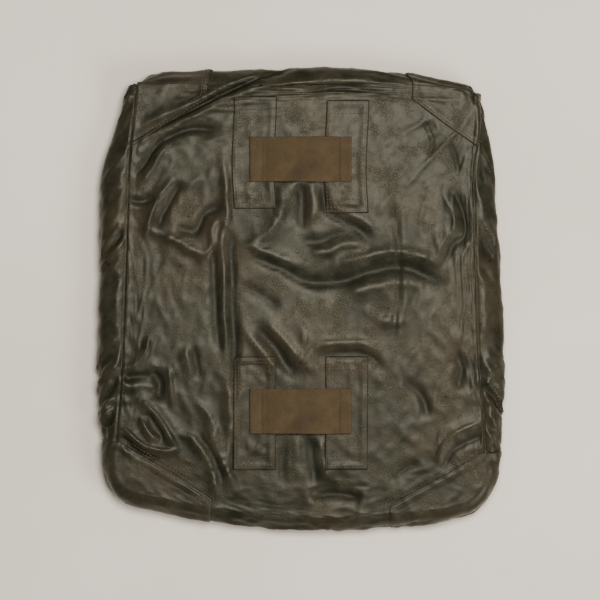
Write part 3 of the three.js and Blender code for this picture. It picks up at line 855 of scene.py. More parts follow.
def rubber_group():
    """Old rubberised cloth: mottled, stained and speckled, crackled in patches, worn on its ridges, with
    painted shade darkening its hollows.
    """
    group = bpy.data.node_groups.new("rubber_cloth", "ShaderNodeTree")
    group_sockets(group, "INPUT", [("Vector", "Place"), ("Float", "Relief"), ("Color", "Shade")])
    group_sockets(group, "INPUT", [("Color", "Dust"), ("Color", "Stain"), ("Float", "Age")])
    group_sockets(group, "OUTPUT", [("Color", "Color"), ("Float", "Roughness"), ("Float", "Height")])
    start = group.nodes.new("NodeGroupInput").outputs
    end = group.nodes.new("NodeGroupOutput").inputs
    place, relief, dust = start["Place"], start["Relief"], start["Dust"]

    broad = cloud(group, place, 9.0, 3.0, Roughness=0.55)
    blotch = cloud(group, place, 38.0, 6.0, Roughness=0.62)
    small = cloud(group, place, 170.0, 5.0, Roughness=0.6)
    grain = cloud(group, place, 1300.0, 3.0, Roughness=0.6)
    streak = cloud(group, place, 90.0, 6.0, Roughness=0.7, Distortion=1.2)
    edges = {"feature": "DISTANCE_TO_EDGE"}
    cells = node(group, "ShaderNodeTexVoronoi", edges, Vector=place, Scale=420.0).outputs["Distance"]
    spots = node(group, "ShaderNodeTexVoronoi", Vector=place, Scale=75.0, Randomness=1.0)
    spots = ramp(group, spots.outputs["Distance"], 0.16, 0.07)
    speck = times(group, spots, ramp(group, broad, 0.50, 0.60))
    hollow = ramp(group, relief, 0.05, -0.7)
    worn = times(group, ramp(group, relief, 0.15, 1.0), ramp(group, small, 0.35, 0.6))
    crackle = times(group, ramp(group, cells, 0.16, 0.0), ramp(group, blotch, 0.48, 0.66))

    color = mix(group, ramp(group, blotch, 0.35, 0.65), start["Shade"], dust)
    color = tinted(group, color, ramp(group, broad, 0.45, 0.65), 0.45, start["Stain"])
    color = tinted(group, color, ramp(group, streak, 0.58, 0.72), 0.55, start["Stain"])
    color = tinted(group, color, speck, 0.8, STAIN_DARK)
    # painted shade: the cloth is coloured darker in the hollows of its creases
    color = tinted(group, color, hollow, 0.6, HOLLOW_PAINTED_SHADE)
    color = tinted(group, color, worn, 0.5, dust)
    group.links.new(color, end["Color"])

    rough = maths(group, "MULTIPLY_ADD", small, 0.16, 0.27)
    rough = maths(group, "ADD", rough, times(group, ramp(group, blotch, 0.4, 0.7), 0.07))
    rough = maths(group, "SUBTRACT", rough, times(group, worn, 0.05))
    rough = maths(group, "ADD", rough, times(group, hollow, 0.08))
    group.links.new(rough, end["Roughness"])

    height = times(group, crackle, times(group, start["Age"], -0.55))
    for part, weight in ((grain, 0.20), (small, 0.35), (streak, 0.22)):
        height = maths(group, "ADD", height, times(group, part, weight))
    group.links.new(height, end["Height"])
    return group


RUBBER = rubber_group()
SHEEN = (0.93, 0.92, 0.79, 1)  # the old rubber's surface has yellowed


def rubber(name, shade, dust, stain, age):
    made, tree, shader = material(name, 0.42, 0.22)
    cloth = tree.nodes.new("ShaderNodeGroup")
    cloth.node_tree = RUBBER
    tree.links.new(pattern_place(tree), cloth.inputs["Place"])
    relief = node(tree, "ShaderNodeAttribute", {"attribute_name": "relief"}).outputs["Fac"]
    tree.links.new(relief, cloth.inputs["Relief"])
    for socket, value in (("Shade", shade), ("Dust", dust), ("Stain", stain), ("Age", age)):
        cloth.inputs[socket].default_value = value
    shader.inputs["Specular Tint"].default_value = SHEEN
    tree.links.new(cloth.outputs["Color"], shader.inputs["Base Color"])
    tree.links.new(cloth.outputs["Roughness"], shader.inputs["Roughness"])
    roughen(tree, shader, cloth.outputs["Height"], 1.0, 0.00040)
    return made


BAG_CLOTH = rubber(
    "bag_cloth", (0.012, 0.012, 0.007, 1), (0.031, 0.029, 0.018, 1), (0.046, 0.031, 0.017, 1), 0.7
)
PATCH_CLOTH = rubber(
    "patch_cloth", (0.015, 0.014, 0.009, 1), (0.035, 0.032, 0.020, 1), (0.048, 0.032, 0.018, 1), 0.8
)
HELD = {
    "back_panel": ("laid", ["folded_jacket"]),
    "side_gusset_left": ("folded", ["back_panel"]),
    "bottom_fold": ("folded", ["back_panel"]),
    "side_gusset_right": ("folded", ["back_panel"]),
    "top_fold": ("folded", ["back_panel"]),
}


def attach(piece, body):
    """The piece rides its body; for the top fold and what is sewn onto it, its place is only baked into its
    mesh.
    """
    if body == "turns":
        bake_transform(piece)
    else:
        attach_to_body(piece, body)


def cut_skin():
    for k, name in enumerate(SKIN_PIECES):
        used, renumbered = np.unique(quads[face_piece == k], return_inverse=True)
        mine = renumbered.reshape(-1, 4)
        piece = finished_cloth(
            name, points[used], flat[used], mine, BAG_CLOTH,
            bulge=relief[used], outward_normals=skin_normals[used],
        )
        attach(piece, "turns" if name == "top_fold" else "bag")
        declare(piece, flat[used], mine, *HELD[name])


cut_skin()
bpy.data.objects.remove(skin)

# ---- 3. Reinforcing patches ----
# The same rubberised cloth, cut to shape, with its edges turned under and sewn on with two rows of
# stitches: one patch on each bag corner, and one under each end of both belt loops.
PATCH_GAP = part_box("loop_patch_upper_left")[0].z - TOP
EDGE_TURN = 0.008  # width of the edge that is turned under
FIRST_ROW = 0.0022  # of stitches, in from a patch's edge
ROW_SPACE = 0.0032
STITCH_PITCH = 0.0036
STITCH_LENGTH = 0.0027
THREAD = 0.00038
TOP_PATCH_WIDTH = 0.070
TOP_PATCH_RUN = 0.015
BASE_PATCH_WIDTH = 0.0965
BASE_PATCH_WRAP = 0.040  # how far a bottom patch goes round from the seam
RAISED_PATCH = 0.0045  # the upper left loop patch was sewn on this much too high
SEWN_ROWS = (FIRST_ROW, FIRST_ROW + ROW_SPACE)
LAID_GAP = PATCH_GAP + 0.0002
PATCH_TOP = LAID_GAP + FABRIC + 0.0003
TURN_LENGTH = 0.044  # of a top patch's turned-over part
stitches = {"bag": [], "turns": []}


def four_sided(corners, rows, columns):
    """A grid of places between four corners: lower left, lower right, upper right, upper left."""
    a, b, c, d = (np.array(p, float) for p in corners)
    u = graded(columns - 1, 0.55)[None, :, None]
    v = graded(rows - 1, 0.55)[:, None, None]
    return ((1 - v) * ((1 - u) * a + u * b) + v * ((1 - u) * d + u * c)).reshape(-1, 2)


def from_line(places, ends):
    a, b = (np.array(p, float) for p in ends)
    along = (b - a) / np.linalg.norm(b - a)
    return np.abs((places - a)[:, 0] * along[1] - (places - a)[:, 1] * along[0])


def box_corners(low, high, raised=0.0):
    return [low.x, high.x, high.x, low.x], [low.y + raised] * 2 + [high.y + raised] * 2


def sewn_patch(name, places, rows, columns, edge, body):
    """Lays a patch on the skin, thicker where its edges are turned under, and rides it."""
    grid = quad_grid(numbered(rows, columns))
    turned_under = smooth(edge, EDGE_TURN, EDGE_TURN - 0.0025) * smooth(edge, -0.0005, 0.0014)
    height = LAID_GAP + 0.00055 * turned_under
    for row in SEWN_ROWS:
        height = height - 0.00022 * bell(edge, row, 0.0007)
    points = lay_on(places, height)
    points[:, 2] = np.maximum(points[:, 2], FABRIC + 0.0003)
    piece = finished_cloth(name, points, places, grid, PATCH_CLOTH, offset=1)
    attach(piece, body)
    declare(piece, places, grid, "laid", ["back_panel_cloth"])


def meet(a, b, c, d):
    """Where the line through a and b meets the one through c and d."""
    first, second = b - a, d - c
    cross = first[0] * second[1] - first[1] * second[0]
    if abs(cross) < 1e-9:
        return b
    return a + ((c - a)[0] * second[1] - (c - a)[1] * second[0]) / cross * first


def sew(path, rows_in=(0.0,), side=1, group="bag"):
    """Rows of stitches along a path on the flat cloth, each moved in from it by a distance."""
    path = np.array(path, float)
    for distance in rows_in:
        moved = []
        for a, b in zip(path, path[1:]):
            along = (b - a) / np.linalg.norm(b - a)
            away = side * distance * np.array([-along[1], along[0]])
            moved += [a + away, b + away]
        bends = [meet(*moved[2 * k - 2 : 2 * k + 2]) for k in range(1, len(path) - 1)]
        line = np.array([moved[0], *bends, moved[-1]])
        length = path_length(line)
        count = max(2, int(length / STITCH_PITCH))
        starts = np.arange(count) / count
        stops = np.minimum(starts + STITCH_LENGTH / length, 1)
        stitches[group].append(np.stack([evenly(line, starts), evenly(line, stops)], axis=1))


def loop_patches():
    rows, columns = 56, 22
    for level in ("upper", "lower"):
        for side in ("left", "right"):
            name = f"loop_patch_{level}_{side}"
            low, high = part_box(name)
            raised = RAISED_PATCH if (level, side) == ("upper", "left") else 0.0
            corners = unwarp(*box_corners(low, high, raised))
            ring = [*corners, corners[0]]
            places = four_sided(corners, rows, columns)
            edge = np.min([from_line(places, ends) for ends in zip(ring, ring[1:])], axis=0)
            sewn_patch(name, places, rows, columns, edge, "bag")
            sew(ring, SEWN_ROWS)
            for inset in (0.013, 0.097):
                share = inset / (high.y - low.y)
                a = corners[0] + share * (corners[3] - corners[0])
                b = corners[1] + share * (corners[2] - corners[1])
                sew([a + 0.003 * (b - a) / 0.041, b])


def top_patches():
    """A top patch runs on over the mouth with the top fold, as a turned-over part of its own."""
    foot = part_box("corner_patch_top_left")[0].y
    run = MOUTH_Y - TOP_PATCH_RUN
    inner = MOUTH_HALF - TOP_PATCH_WIDTH
    outer = MOUTH_HALF - 0.0012
    turn_inner, turn_outer = inner - 0.007, MOUTH_HALF - 0.012
    turn_end = MOUTH_Y + TURN_LENGTH
    for name, side in (("left", -1), ("right", 1)):

        def mirrored(corners):
            """The right side's corners, or the left side's in the order that faces up too."""
            corners = [(side * x, y) for x, y in corners]
            return corners if side > 0 else [corners[k] for k in (1, 0, 3, 2)]

        corners = mirrored([(inner, run), (seam_x(foot) - 0.001, foot), (outer, MOUTH_Y), (inner, MOUTH_Y)])
        places = four_sided(corners, 30, 40)
        edge = np.minimum(from_line(places, corners[:2]), np.abs(places[:, 0] * side - inner))
        edge = np.minimum(edge, np.abs(seam_x(places[:, 1]) - side * places[:, 0]) + 0.001)
        sewn_patch(f"corner_patch_top_{name}", places, 30, 40, edge, "bag")
        sew([(side * inner, MOUTH_Y), (side * inner, run), (side * seam_x(foot), foot)], SEWN_ROWS, side)

        turned_over = [(inner, MOUTH_Y), (outer, MOUTH_Y), (turn_outer, turn_end), (turn_inner, turn_end)]
        corners = mirrored(turned_over)
        places = four_sided(corners, 24, 36)
        inner_edge = [(side * inner, MOUTH_Y), (side * turn_inner, turn_end)]
        sewn_patch(f"corner_turn_{name}", places, 24, 36, from_line(places, inner_edge), "turns")
        sew(inner_edge, SEWN_ROWS, -side, "turns")


def base_patches():
    """A bottom patch lies on the panel's corner and wraps the gusset down to the ground."""
    line = evenly(seam, np.linspace(0, 1, SEAM_STEPS))
    out = outward_from(line)
    inner = BASE_HALF - BASE_PATCH_WIDTH
    on_left = line[:, 0] < 0
    first = np.nonzero(on_left & (line[:, 1] < BASE_Y + BASE_PATCH_LENGTH))[0][0]
    last = np.nonzero(on_left & (line[:, 0] < -inner))[0][-1]
    rows, flat_columns, rim_columns = 60, 26, 14
    columns = flat_columns + 1 + rim_columns
    stations = np.linspace(first, last, rows).astype(int)
    at, away = line[stations], out[stations]
    turn = np.array([-inner, BASE_Y - 0.008])
    tip, foot = at[0] - 0.003 * away[0], at[-1] - 0.003 * away[-1]
    inner_line = evenly(np.array([tip, turn, foot]), np.linspace(0, 1, rows))
    across_panel = graded(flat_columns, 0.5)[:, None]
    down_rim = BASE_PATCH_WRAP * (np.arange(1, rim_columns + 1) / rim_columns)[:, None]
    flat_rows = []
    for k in range(rows):
        flat_rows.append(inner_line[k] + across_panel * (at[k] - inner_line[k]))
        flat_rows.append(at[k] + away[k] * down_rim)
    left = np.vstack(flat_rows)
    edge = np.minimum(from_line(left, [tip, turn]), from_line(left, [turn, foot]))
    row_share = np.repeat(np.arange(rows) / (rows - 1), columns)
    on_panel = np.tile(np.arange(columns) <= flat_columns, rows)
    edge = np.where(on_panel, edge, np.minimum(row_share, 1 - row_share) * 0.13)
    for name, side in (("left", -1), ("right", 1)):
        order = slice(None, None, side)
        places = (left * [-side, 1]).reshape(rows, columns, 2)[order, ::-1].reshape(-1, 2)
        edges = edge.reshape(rows, columns)[order, ::-1].ravel()
        sewn_patch(f"corner_patch_bottom_{name}", places, rows, columns, edges, "bag")
        sew(np.array([tip, turn, foot]) * [-side, 1], SEWN_ROWS, -side)


loop_patches()
top_patches()
base_patches()

# ---- 4. Belt loops ----
# Brown cotton webbing. Each end is folded under itself and sewn across through its patch, and the
# middle stands clear so that a belt can pass behind it.
webbing_low, webbing_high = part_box("belt_loop_upper")
LOOP_HALF = webbing_high.x
LOOP_SEWN = 0.0135  # length of each folded-under end
SEWN_X = LOOP_HALF - LOOP_SEWN
LOOP_RAMP = 0.014  # over which the webbing rises from its sewn end
WEBBING = 0.0016
LOOP_RISE = webbing_high.z - webbing_low.z - WEBBING
WEBBING_BROWN = (0.086, 0.058, 0.028, 1)
# painted shade colour for the low points of the weave
WEBBING_WEAVE_SHADE = (0.036, 0.025, 0.012, 1)
WEBBING_WORN = (0.106, 0.074, 0.039, 1)
WEBBING_SOILED = (0.030, 0.022, 0.014, 1)
LOOP_STITCH = 0.0021
LOOP_STITCH_PITCH = 0.0030
WARP_PITCH = 0.0013
WEFT_PITCH = 0.0017


def webbing_look():
    made, tree, shader = material("loop_webbing", 0.85, 0.25)
    place = pattern_place(tree)
    parts = node(tree, "ShaderNodeSeparateXYZ", Vector=place).outputs
    warp = maths(tree, "SINE", times(tree, parts[1], 2 * math.pi / WARP_PITCH))
    weft = maths(tree, "SINE", times(tree, parts[0], 2 * math.pi / WEFT_PITCH))
    yarn = times(tree, cloud(tree, place, 650.0, 4.0), 0.9)
    height = maths(tree, "ADD", times(tree, times(tree, warp, weft), 0.5), yarn)
    worn = ramp(tree, cloud(tree, place, 60.0, 5.0, Roughness=0.6), 0.4, 0.7)
    soiled = ramp(tree, cloud(tree, place, 22.0, 4.0), 0.55, 0.72)
    # painted shade: the weave's low points are coloured darker than its raised yarns
    shade = mix(tree, ramp(tree, height, -0.3, 0.9), WEBBING_WEAVE_SHADE, WEBBING_BROWN)
    shade = tinted(tree, shade, worn, 0.45, WEBBING_WORN)
    shade = tinted(tree, shade, soiled, 0.4, WEBBING_SOILED)
    tree.links.new(shade, shader.inputs["Base Color"])
    roughen(tree, shader, height, 0.9, 0.0004)
    return made


WEBBING_LOOK = webbing_look()


def belt_loop(level):
    """The webbing's middle surface runs from one folded-under end, over the top, to the other."""
    low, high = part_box(f"belt_loop_{level}")
    side_points = [
        (-SEWN_X + 0.0005, 0.5 * WEBBING), (-LOOP_HALF + 0.0016, 0.5 * WEBBING),
        (-LOOP_HALF + 0.0007, 0.7 * WEBBING), (-LOOP_HALF + 0.0004, WEBBING),
        (-LOOP_HALF + 0.0007, 1.3 * WEBBING), (-LOOP_HALF + 0.0018, 1.56 * WEBBING),
        (-SEWN_X - 0.002, 1.56 * WEBBING), (-SEWN_X + 0.002, 1.6 * WEBBING),
        (-SEWN_X + 0.5 * LOOP_RAMP, 0.55 * LOOP_RISE + 0.001), (-SEWN_X + LOOP_RAMP, 0.90 * LOOP_RISE),
        (-0.010, LOOP_RISE + 0.5 * WEBBING),
    ]
    line = curve_through(side_points + [(-x, z) for x, z in side_points[::-1]], 150)
    across_width = graded(26, 0.4) - 0.5
    length = path_length(line)
    width = high.y - low.y
    middle = (high.y + low.y) / 2
    x = np.repeat(line[:, 0], len(across_width))
    z = np.repeat(line[:, 1], len(across_width))
    y = middle + np.tile(across_width, len(line)) * (width - 0.0006)
    y = y + 0.0004 * rumple(np.column_stack([x, 0 * x, 0 * x]), 0.02, 31.0, 2) * np.sign(y - middle)
    bed = {}
    columns = np.unique(y.round(5))
    for end in (-1, 1):
        spots = unwarp(np.full(len(columns), end * (LOOP_HALF - LOOP_SEWN / 2)), columns)
        heights = lay_on(spots, PATCH_TOP)[:, 2]
        smoothed = np.convolve(np.pad(heights, 6, mode="edge"), np.ones(13) / 13, "valid")
        bed[end] = np.interp(y, columns, smoothed)
    share = np.clip((x / SEWN_X + 1) / 2, 0, 1)
    ground = bed[-1] + share * (bed[1] - bed[-1])
    over = lay_on(unwarp(x, y), PATCH_TOP)[:, 2]
    lying = smooth(np.abs(x), SEWN_X - 0.002, SEWN_X + 0.003)
    ground = (1 - lying) * ground + lying * (0.6 * over + 0.4 * ground)
    from_middle = np.abs(y - middle) / (width / 2)
    crown = 0.0006 * (1 - from_middle**2) * smooth(np.abs(x), SEWN_X, SEWN_X - 0.015)
    rucks = 0.0005 * rumple(np.column_stack([x, y, 0 * x]), 0.016, 5.0, 2)
    press = -0.0010 * bell(np.abs(x), SEWN_X + 0.0015, 0.0012) * (z > WEBBING)
    height = np.maximum(ground + z + crown + rucks + press - 0.0003 * from_middle**8, 0)
    points = np.column_stack([x, y, height])
    places = np.column_stack([np.repeat(np.linspace(0, length, len(line)), len(across_width)), y - middle])
    grid = quad_grid(numbered(len(line), len(across_width)))[:, ::-1]
    piece = mesh_object(f"belt_loop_{level}_webbing", points, grid.tolist())
    add_pattern(piece, places)
    thicken(piece, 0.9 * WEBBING, 0)
    finish(piece, f"belt_loop_{level}", WEBBING_LOOK)
    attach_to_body(piece, "bag")
    return points, x, y, z


def loop_stitches(points, x, y, z):
    """Two rows of stitches across each sewn end, as pairs of ends on top of the webbing."""
    hidden = z <= 1.2 * WEBBING
    starts = np.arange(y.min() + 0.0015, y.max() - 0.0025, LOOP_STITCH_PITCH)
    made = []
    for row in (SEWN_X + 0.0015, LOOP_HALF - 0.0030):
        for at in (-row, row):
            for place in np.column_stack([starts, starts + LOOP_STITCH]).ravel():
                gap = np.abs(x - at) + np.abs(y - place) + hidden
                made.append((at, place, points[gap.argmin(), 2] + 0.5 * WEBBING))
    return np.array(made).reshape(-1, 2, 3)


loop_threads = [loop_stitches(*belt_loop(level)) for level in ("upper", "lower")]

# ---- 5. Sewing thread ----
# Waxed olive thread. It shows as a short raised stitch wherever a row of lockstitches comes up
# through the cloth, on the patches and the belt loops. The side seams are sewn inside out.
THREAD_DARK = (0.030, 0.026, 0.016, 1)
THREAD_LIGHT = (0.105, 0.082, 0.050, 1)


def thread_look():
    made, tree, shader = material("thread", 0.6, 0.4)
    worn = ramp(tree, cloud(tree, object_place(tree), 40.0, 3.0), 0.35, 0.65)
    tree.links.new(mix(tree, worn, THREAD_DARK, THREAD_LIGHT), shader.inputs["Base Color"])
    return made


THREAD_LOOK = thread_look()


def thread_piece(name, pairs, body, radius=THREAD):
    """All stitches of one group as one mesh: each is a short six-sided pod between its two ends."""
    sides = 6
    rings = [(0.12, 0.6), (0.5, 1.0), (0.88, 0.6)]  # share of the stitch's length, share of its radius
    start, end = pairs[:, 0], pairs[:, 1]
    ahead = end - start
    ahead = ahead / np.maximum(np.linalg.norm(ahead, axis=1), 1e-9)[:, None]
    across = np.cross(ahead, [0.0, 0.0, 1.0])
    across /= np.maximum(np.linalg.norm(across, axis=1), 1e-9)[:, None]
    up = np.cross(across, ahead)
    parts = [start - 0.6 * radius * up]
    for share, wide in rings:
        middle = start + share * (end - start)
        for turn in 2 * np.pi * np.arange(sides) / sides:
            parts.append(middle + radius * wide * (math.cos(turn) * across + math.sin(turn) * up))
    parts.append(end - 0.6 * radius * up)
    points = np.stack(parts, axis=1).reshape(-1, 3)

    last = len(parts) - 1
    ring = 1 + numbered(len(rings), sides)
    after = np.roll(ring, -1, axis=1)
    pod = [(0, b, a) for a, b in zip(ring[0], after[0])]
    for a, b in zip(range(len(rings) - 1), range(1, len(rings))):
        pod += zip(ring[a], after[a], after[b], ring[b])
    pod += [(a, b, last) for a, b in zip(ring[-1], after[-1])]
    faces = [[int(first + v) for v in face] for first in range(0, len(points), len(parts)) for face in pod]
    piece = mesh_object(name, points, faces)
    piece.data.materials.append(THREAD_LOOK)
    attach(piece, body)


def laid_stitches(group):
    ends = np.vstack(stitches[group]).reshape(-1, 2)
    return lay_on(ends, PATCH_TOP + 0.2 * THREAD).reshape(-1, 2, 3)


thread_piece("stitches_on_bag", laid_stitches("bag"), "bag")
thread_piece("stitches_on_fold", laid_stitches("turns"), "turns")
thread_piece("stitches_on_loops", np.vstack(loop_threads), "bag", 0.0004)

# ---- 6. Backing patches ----
# Squares of the same cloth inside the back panel, one behind each loop patch, that the loops'
# stitching goes through, so that a loaded belt doesn't tear the panel.
def backings():
    rows, columns = 40, 18
    for level in ("upper", "lower"):
        for side in ("left", "right"):
            name = f"loop_backing_{level}_{side}"
            places = four_sided(unwarp(*box_corners(*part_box(name))), rows, columns)
            points = lay_on(places, -(FABRIC + 0.0007))
            grid = quad_grid(numbered(rows, columns))
            piece = finished_cloth(name, points, places, grid, PATCH_CLOTH)
            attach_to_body(piece, "bag")
            declare(piece, places, grid, "laid", ["back_panel_cloth"])


backings()

# ---- 7. Front panel, flap and their hems ----
# The side that the bag lies on. The flap comes over from the top fold and closes on the front
# panel with three press studs. A hem stiffens the flap's edge and the mouth, and a strip inside the
# front panel holds the studs.
SNAP_AT = {side: sum(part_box(f"snap_cap_{side}"), Vector()) / 2 for side in ("left", "middle", "right")}
SNAP_Y = SNAP_AT["middle"].y
SNAP_CLEAR = 0.022  # the cloth lies flat this far round a press stud


def clear_of_snaps(x, y):
    near = np.min([np.hypot(x - at.x, y - SNAP_Y) for at in SNAP_AT.values()], axis=0)
    return smooth(near, 0.008, SNAP_CLEAR)


def front_rise(x, y):
    """How far the front panel's wrinkles rise into the bag."""
    at = np.column_stack([x, y, 0 * x])
    waves = 0.0011 * rumple(at * [1.0, 0.6, 1.0], 0.060, 41.0, 3) + 0.0005 * rumple(at, 0.018, 43.0, 3)
    return (waves + 0.0003) * clear_of_snaps(x, y) * smooth(y, MOUTH_Y - 0.002, MOUTH_Y - 0.02)


def flap_rise(x, y):
    at = np.column_stack([x, y, 0 * x])
    waves = 0.0013 * rumple(at * [0.7, 1.0, 1.0], 0.055, 51.0, 3) + 0.0005 * rumple(at, 0.016, 53.0, 3)
    waves = np.clip(waves + 0.0006, -0.0009, 0.0030)
    return waves * clear_of_snaps(x, y) * smooth(y, MOUTH_Y, MOUTH_Y - 0.03)


def lower_cloth(name, rise, look, rests_on, grid=None, rows=90, columns=120, hemmed=True):
    """A nearly flat cloth that faces down, at the height of its CAD node."""
    low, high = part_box(name)
    if grid is None:
        grid = four_sided(list(zip(*box_corners(low, high))), rows, columns).reshape(rows, columns, 2)
    rows, columns = grid.shape[:2]
    places = grid.reshape(-1, 2)
    x, y = places.T
    z = low.z + rise(x, y)
    if hemmed:
        edge = np.minimum(np.minimum(x - x.min(), x.max() - x), np.minimum(y - y.min(), y.max() - y))
        z = z + 0.00025 * bell(edge, FIRST_ROW, 0.0008)
    points = np.column_stack([*plan_warp(x, y), np.maximum(z, 0.0003)])
    faces = quad_grid(numbered(rows, columns))[:, ::-1]
    piece = finished_cloth(name, points, places, faces, look)
    declare(piece, places, faces, "laid", rests_on)
    return piece


def front_side():
    low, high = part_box("front_panel")
    grid = panel_points()[::-1]
    margin = 0.0015  # how far it laps over the gusset's lip
    share = (grid[..., 1] - grid[..., 1].min()) / np.ptp(grid[..., 1])
    grid[..., 0] *= (high.x + margin) / panel_high.x
    grid[..., 1] = low.y - margin + share * (high.y - low.y + margin)
    front = lower_cloth("front_panel", front_rise, BAG_CLOTH, ["flap_cloth"], grid, hemmed=False)
    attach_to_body(front, "bag")
    for name, look, rows in (("mouth_hem", BAG_CLOTH, 12), ("stud_strip", PATCH_CLOTH, 14)):
        strip = lower_cloth(name, front_rise, look, ["front_panel_cloth"], rows=rows, columns=90)
        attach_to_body(strip, "bag")
    flap = lower_cloth("flap", flap_rise, BAG_CLOTH, ["floor"], hemmed=False)
    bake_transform(flap)
    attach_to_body(lower_cloth("flap_hem", flap_rise, BAG_CLOTH, ["flap_cloth"], rows=16), "flap")


front_side()


def lower_stitches():
    """Rows of stitches round the flap, along its hem, the mouth's hem and the stud strip."""
    inset = 0.003
    low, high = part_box("flap")
    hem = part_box("flap_hem")[1].y - inset
    left, right, bottom, top = low.x + inset, high.x - inset, low.y + inset, high.y - 0.02
    flap_lines = [[(left, top), (left, bottom)], [(left, bottom), (right, bottom)]]
    flap_lines += [[(right, bottom), (right, top)], [(left, hem), (right, hem)]]
    front_lines = []
    for name in ("mouth_hem", "stud_strip"):
        first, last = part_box(name)
        front_lines += [[(first.x, y), (last.x, y)] for y in (last.y - inset, first.y + inset)]
    for name, lines, z, rise, body in (
        ("stitches_on_flap", flap_lines, low.z, flap_rise, "flap"),
        ("stitches_on_front", front_lines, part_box("front_panel")[0].z, front_rise, "bag"),
    ):
        pairs = []
        for line in np.array(lines):
            length = path_length(line)
            starts = np.arange(int(length / STITCH_PITCH)) * STITCH_PITCH / length
            ends = np.stack([evenly(line, starts), evenly(line, starts + STITCH_LENGTH / length)], axis=1)
            x, y = ends.reshape(-1, 2).T
            laid = np.column_stack([*plan_warp(x, y), z + rise(x, y) - 0.2 * THREAD])
            pairs.append(laid.reshape(-1, 2, 3))
        thread_piece(name, np.vstack(pairs), body)


lower_stitches()

# ---- 8. Press studs ----
# Three brass press studs, stamped and riveted: on the flap a domed cap outside and a socket inside,
# and on the front panel a stud outside and its post inside.
AROUND = 40
LEAF = 0.0005  # thickness of the stamped brass
BRASS_BRIGHT = (0.20, 0.15, 0.075, 1)
BRASS_DULL = (0.055, 0.043, 0.028, 1)


def brass_look():
    made, tree, shader = material("stud_metal", 0.35, 0.5)
    place = object_place(tree)
    tarnish = ramp(tree, cloud(tree, place, 350.0, 5.0), 0.42, 0.62)
    for socket, value in (
        ("Base Color", mix(tree, tarnish, BRASS_BRIGHT, BRASS_DULL)),
        ("Roughness", maths(tree, "MULTIPLY_ADD", tarnish, 0.25, 0.30)),
        ("Metallic", maths(tree, "MULTIPLY_ADD", tarnish, -0.25, 1.0)),
    ):
        tree.links.new(value, shader.inputs[socket])
    roughen(tree, shader, cloud(tree, place, 1800.0, 2.0), 0.4, 0.0001)
    return made


BRASS = brass_look()


def turned(part, side, corners, body, node_name=None):
    """A stamped round part: a circle drawn out ring by ring through (radius, height) corners."""
    tiny = 0.00002
    corners = [(max(r, tiny), z) for r, z in corners]
    deselect()
    x = SNAP_AT[side].x
    radius, z = corners[0]
    bpy.ops.mesh.primitive_circle_add(vertices=AROUND, radius=radius, location=(x, SNAP_Y, z))
    piece = bpy.context.object
    piece.name = f"press_stud_{part}_{side}"
    bpy.ops.object.transform_apply(location=True)
    bpy.ops.object.mode_set(mode="EDIT")
    bpy.ops.mesh.select_all(action="SELECT")
    for (r0, z0), (r1, z1) in zip(corners, corners[1:]):
        bpy.ops.mesh.extrude_edges_move(TRANSFORM_OT_translate={"value": (0, 0, z1 - z0)})
        bpy.ops.transform.resize(value=(r1 / r0, r1 / r0, 1), center_override=(x, SNAP_Y, z1))
    bpy.ops.mesh.select_all(action="SELECT")
    bpy.ops.mesh.remove_doubles(threshold=2.5 * tiny)
    bpy.ops.mesh.normals_make_consistent(inside=False)
    bpy.ops.object.mode_set(mode="OBJECT")
    soft = piece.modifiers.new("soft_edges", "BEVEL")
    soft.width = 0.00012
    soft.segments = 2
    soft.limit_method = "ANGLE"
    soft.angle_limit = math.radians(35)
    apply(piece, "soft_edges")
    bpy.ops.object.shade_smooth_by_angle(angle=math.radians(40))
    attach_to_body(piece, body)
    finish(piece, f"snap_{node_name or part}_{side}", BRASS)


def dome(radius, low, high, count=5):
    """Corners of a shallow dome that bulges down, from its middle to its rim."""
    angle = np.linspace(0, np.pi / 2, count)
    return [(radius * math.sin(a), high - (high - low) * math.cos(a)) for a in angle]


def snap_box(part, side):
    """Lowest and highest point of a press stud's part, and its radius."""
    low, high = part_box(f"snap_{part}_{side}")
    return low.z, high.z, (high.x - low.x) / 2


def press_studs():
    for side in SNAP_AT:
        low, high, wide = snap_box("cap", side)
        rim = low + 0.0012
        cap = dome(wide, low, rim, 7)
        cap += [(wide - 0.0003, rim + 0.0002), (0.0060, rim), (0.0020, rim), (0.0020, high - LEAF)]
        cap += [(0.0028, high - LEAF), (0.0028, high), (0.0, high)]
        turned("cap", side, cap, "flap")

        low, high, wide = snap_box("socket", side)
        outer = wide - 0.0003
        socket = [(0.0023, low), (outer - 0.0004, low), (outer, low + 0.0004), (wide, low + 0.0009)]
        socket += [(outer, high - 0.0003), (outer - 0.0005, high), (0.0044, high), (0.0039, high - 0.0003)]
        socket += [(0.0039, high - 0.0007), (0.0043, high - 0.0011), (0.0043, low + 0.0004)]
        socket += [(0.0023, low + 0.0004), (0.0023, low)]
        turned("socket", side, socket, "flap")

        low, high, wide = snap_box("stud", side)
        knob = [(0.0, low), (0.0030, low), (0.0035, low + 0.0002), (0.0036, low + 0.0005)]
        knob += [(0.0033, high - LEAF), (wide - 0.0002, high - LEAF), (wide, high - 0.0003)]
        knob += [(wide - 0.0001, high), (0.0023, high), (0.0023, low + 0.00035), (0.0, low + 0.00035)]
        turned("knob", side, knob, "bag", "stud")

        low, high, wide = snap_box("post", side)
        post = [(0.0, low), (0.0020, low), (0.0020, high - LEAF), (wide - 0.0003, high - LEAF)]
        post += [(wide, high - 0.0003), (wide - 0.0002, high), (0.0018, high), (0.0014, high - 0.0003)]
        post += [(0.0, high - 0.0003)]
        turned("post", side, post, "bag")


press_studs()

# ---- 9. Folded suit ----
# The suit inside, of lighter rubberised cloth: trousers below and jacket above, each folded into
# layers. It is seen only at the mouth, when the fold and the flap are open.
LAYERS = 5
CEILING_GAP = 0.0050  # between the jacket and the inside of the back panel
SUIT_CLOTH = rubber(
    "suit_cloth", (0.042, 0.045, 0.028, 1), (0.070, 0.070, 0.046, 1), (0.050, 0.040, 0.024, 1), 0.5
)


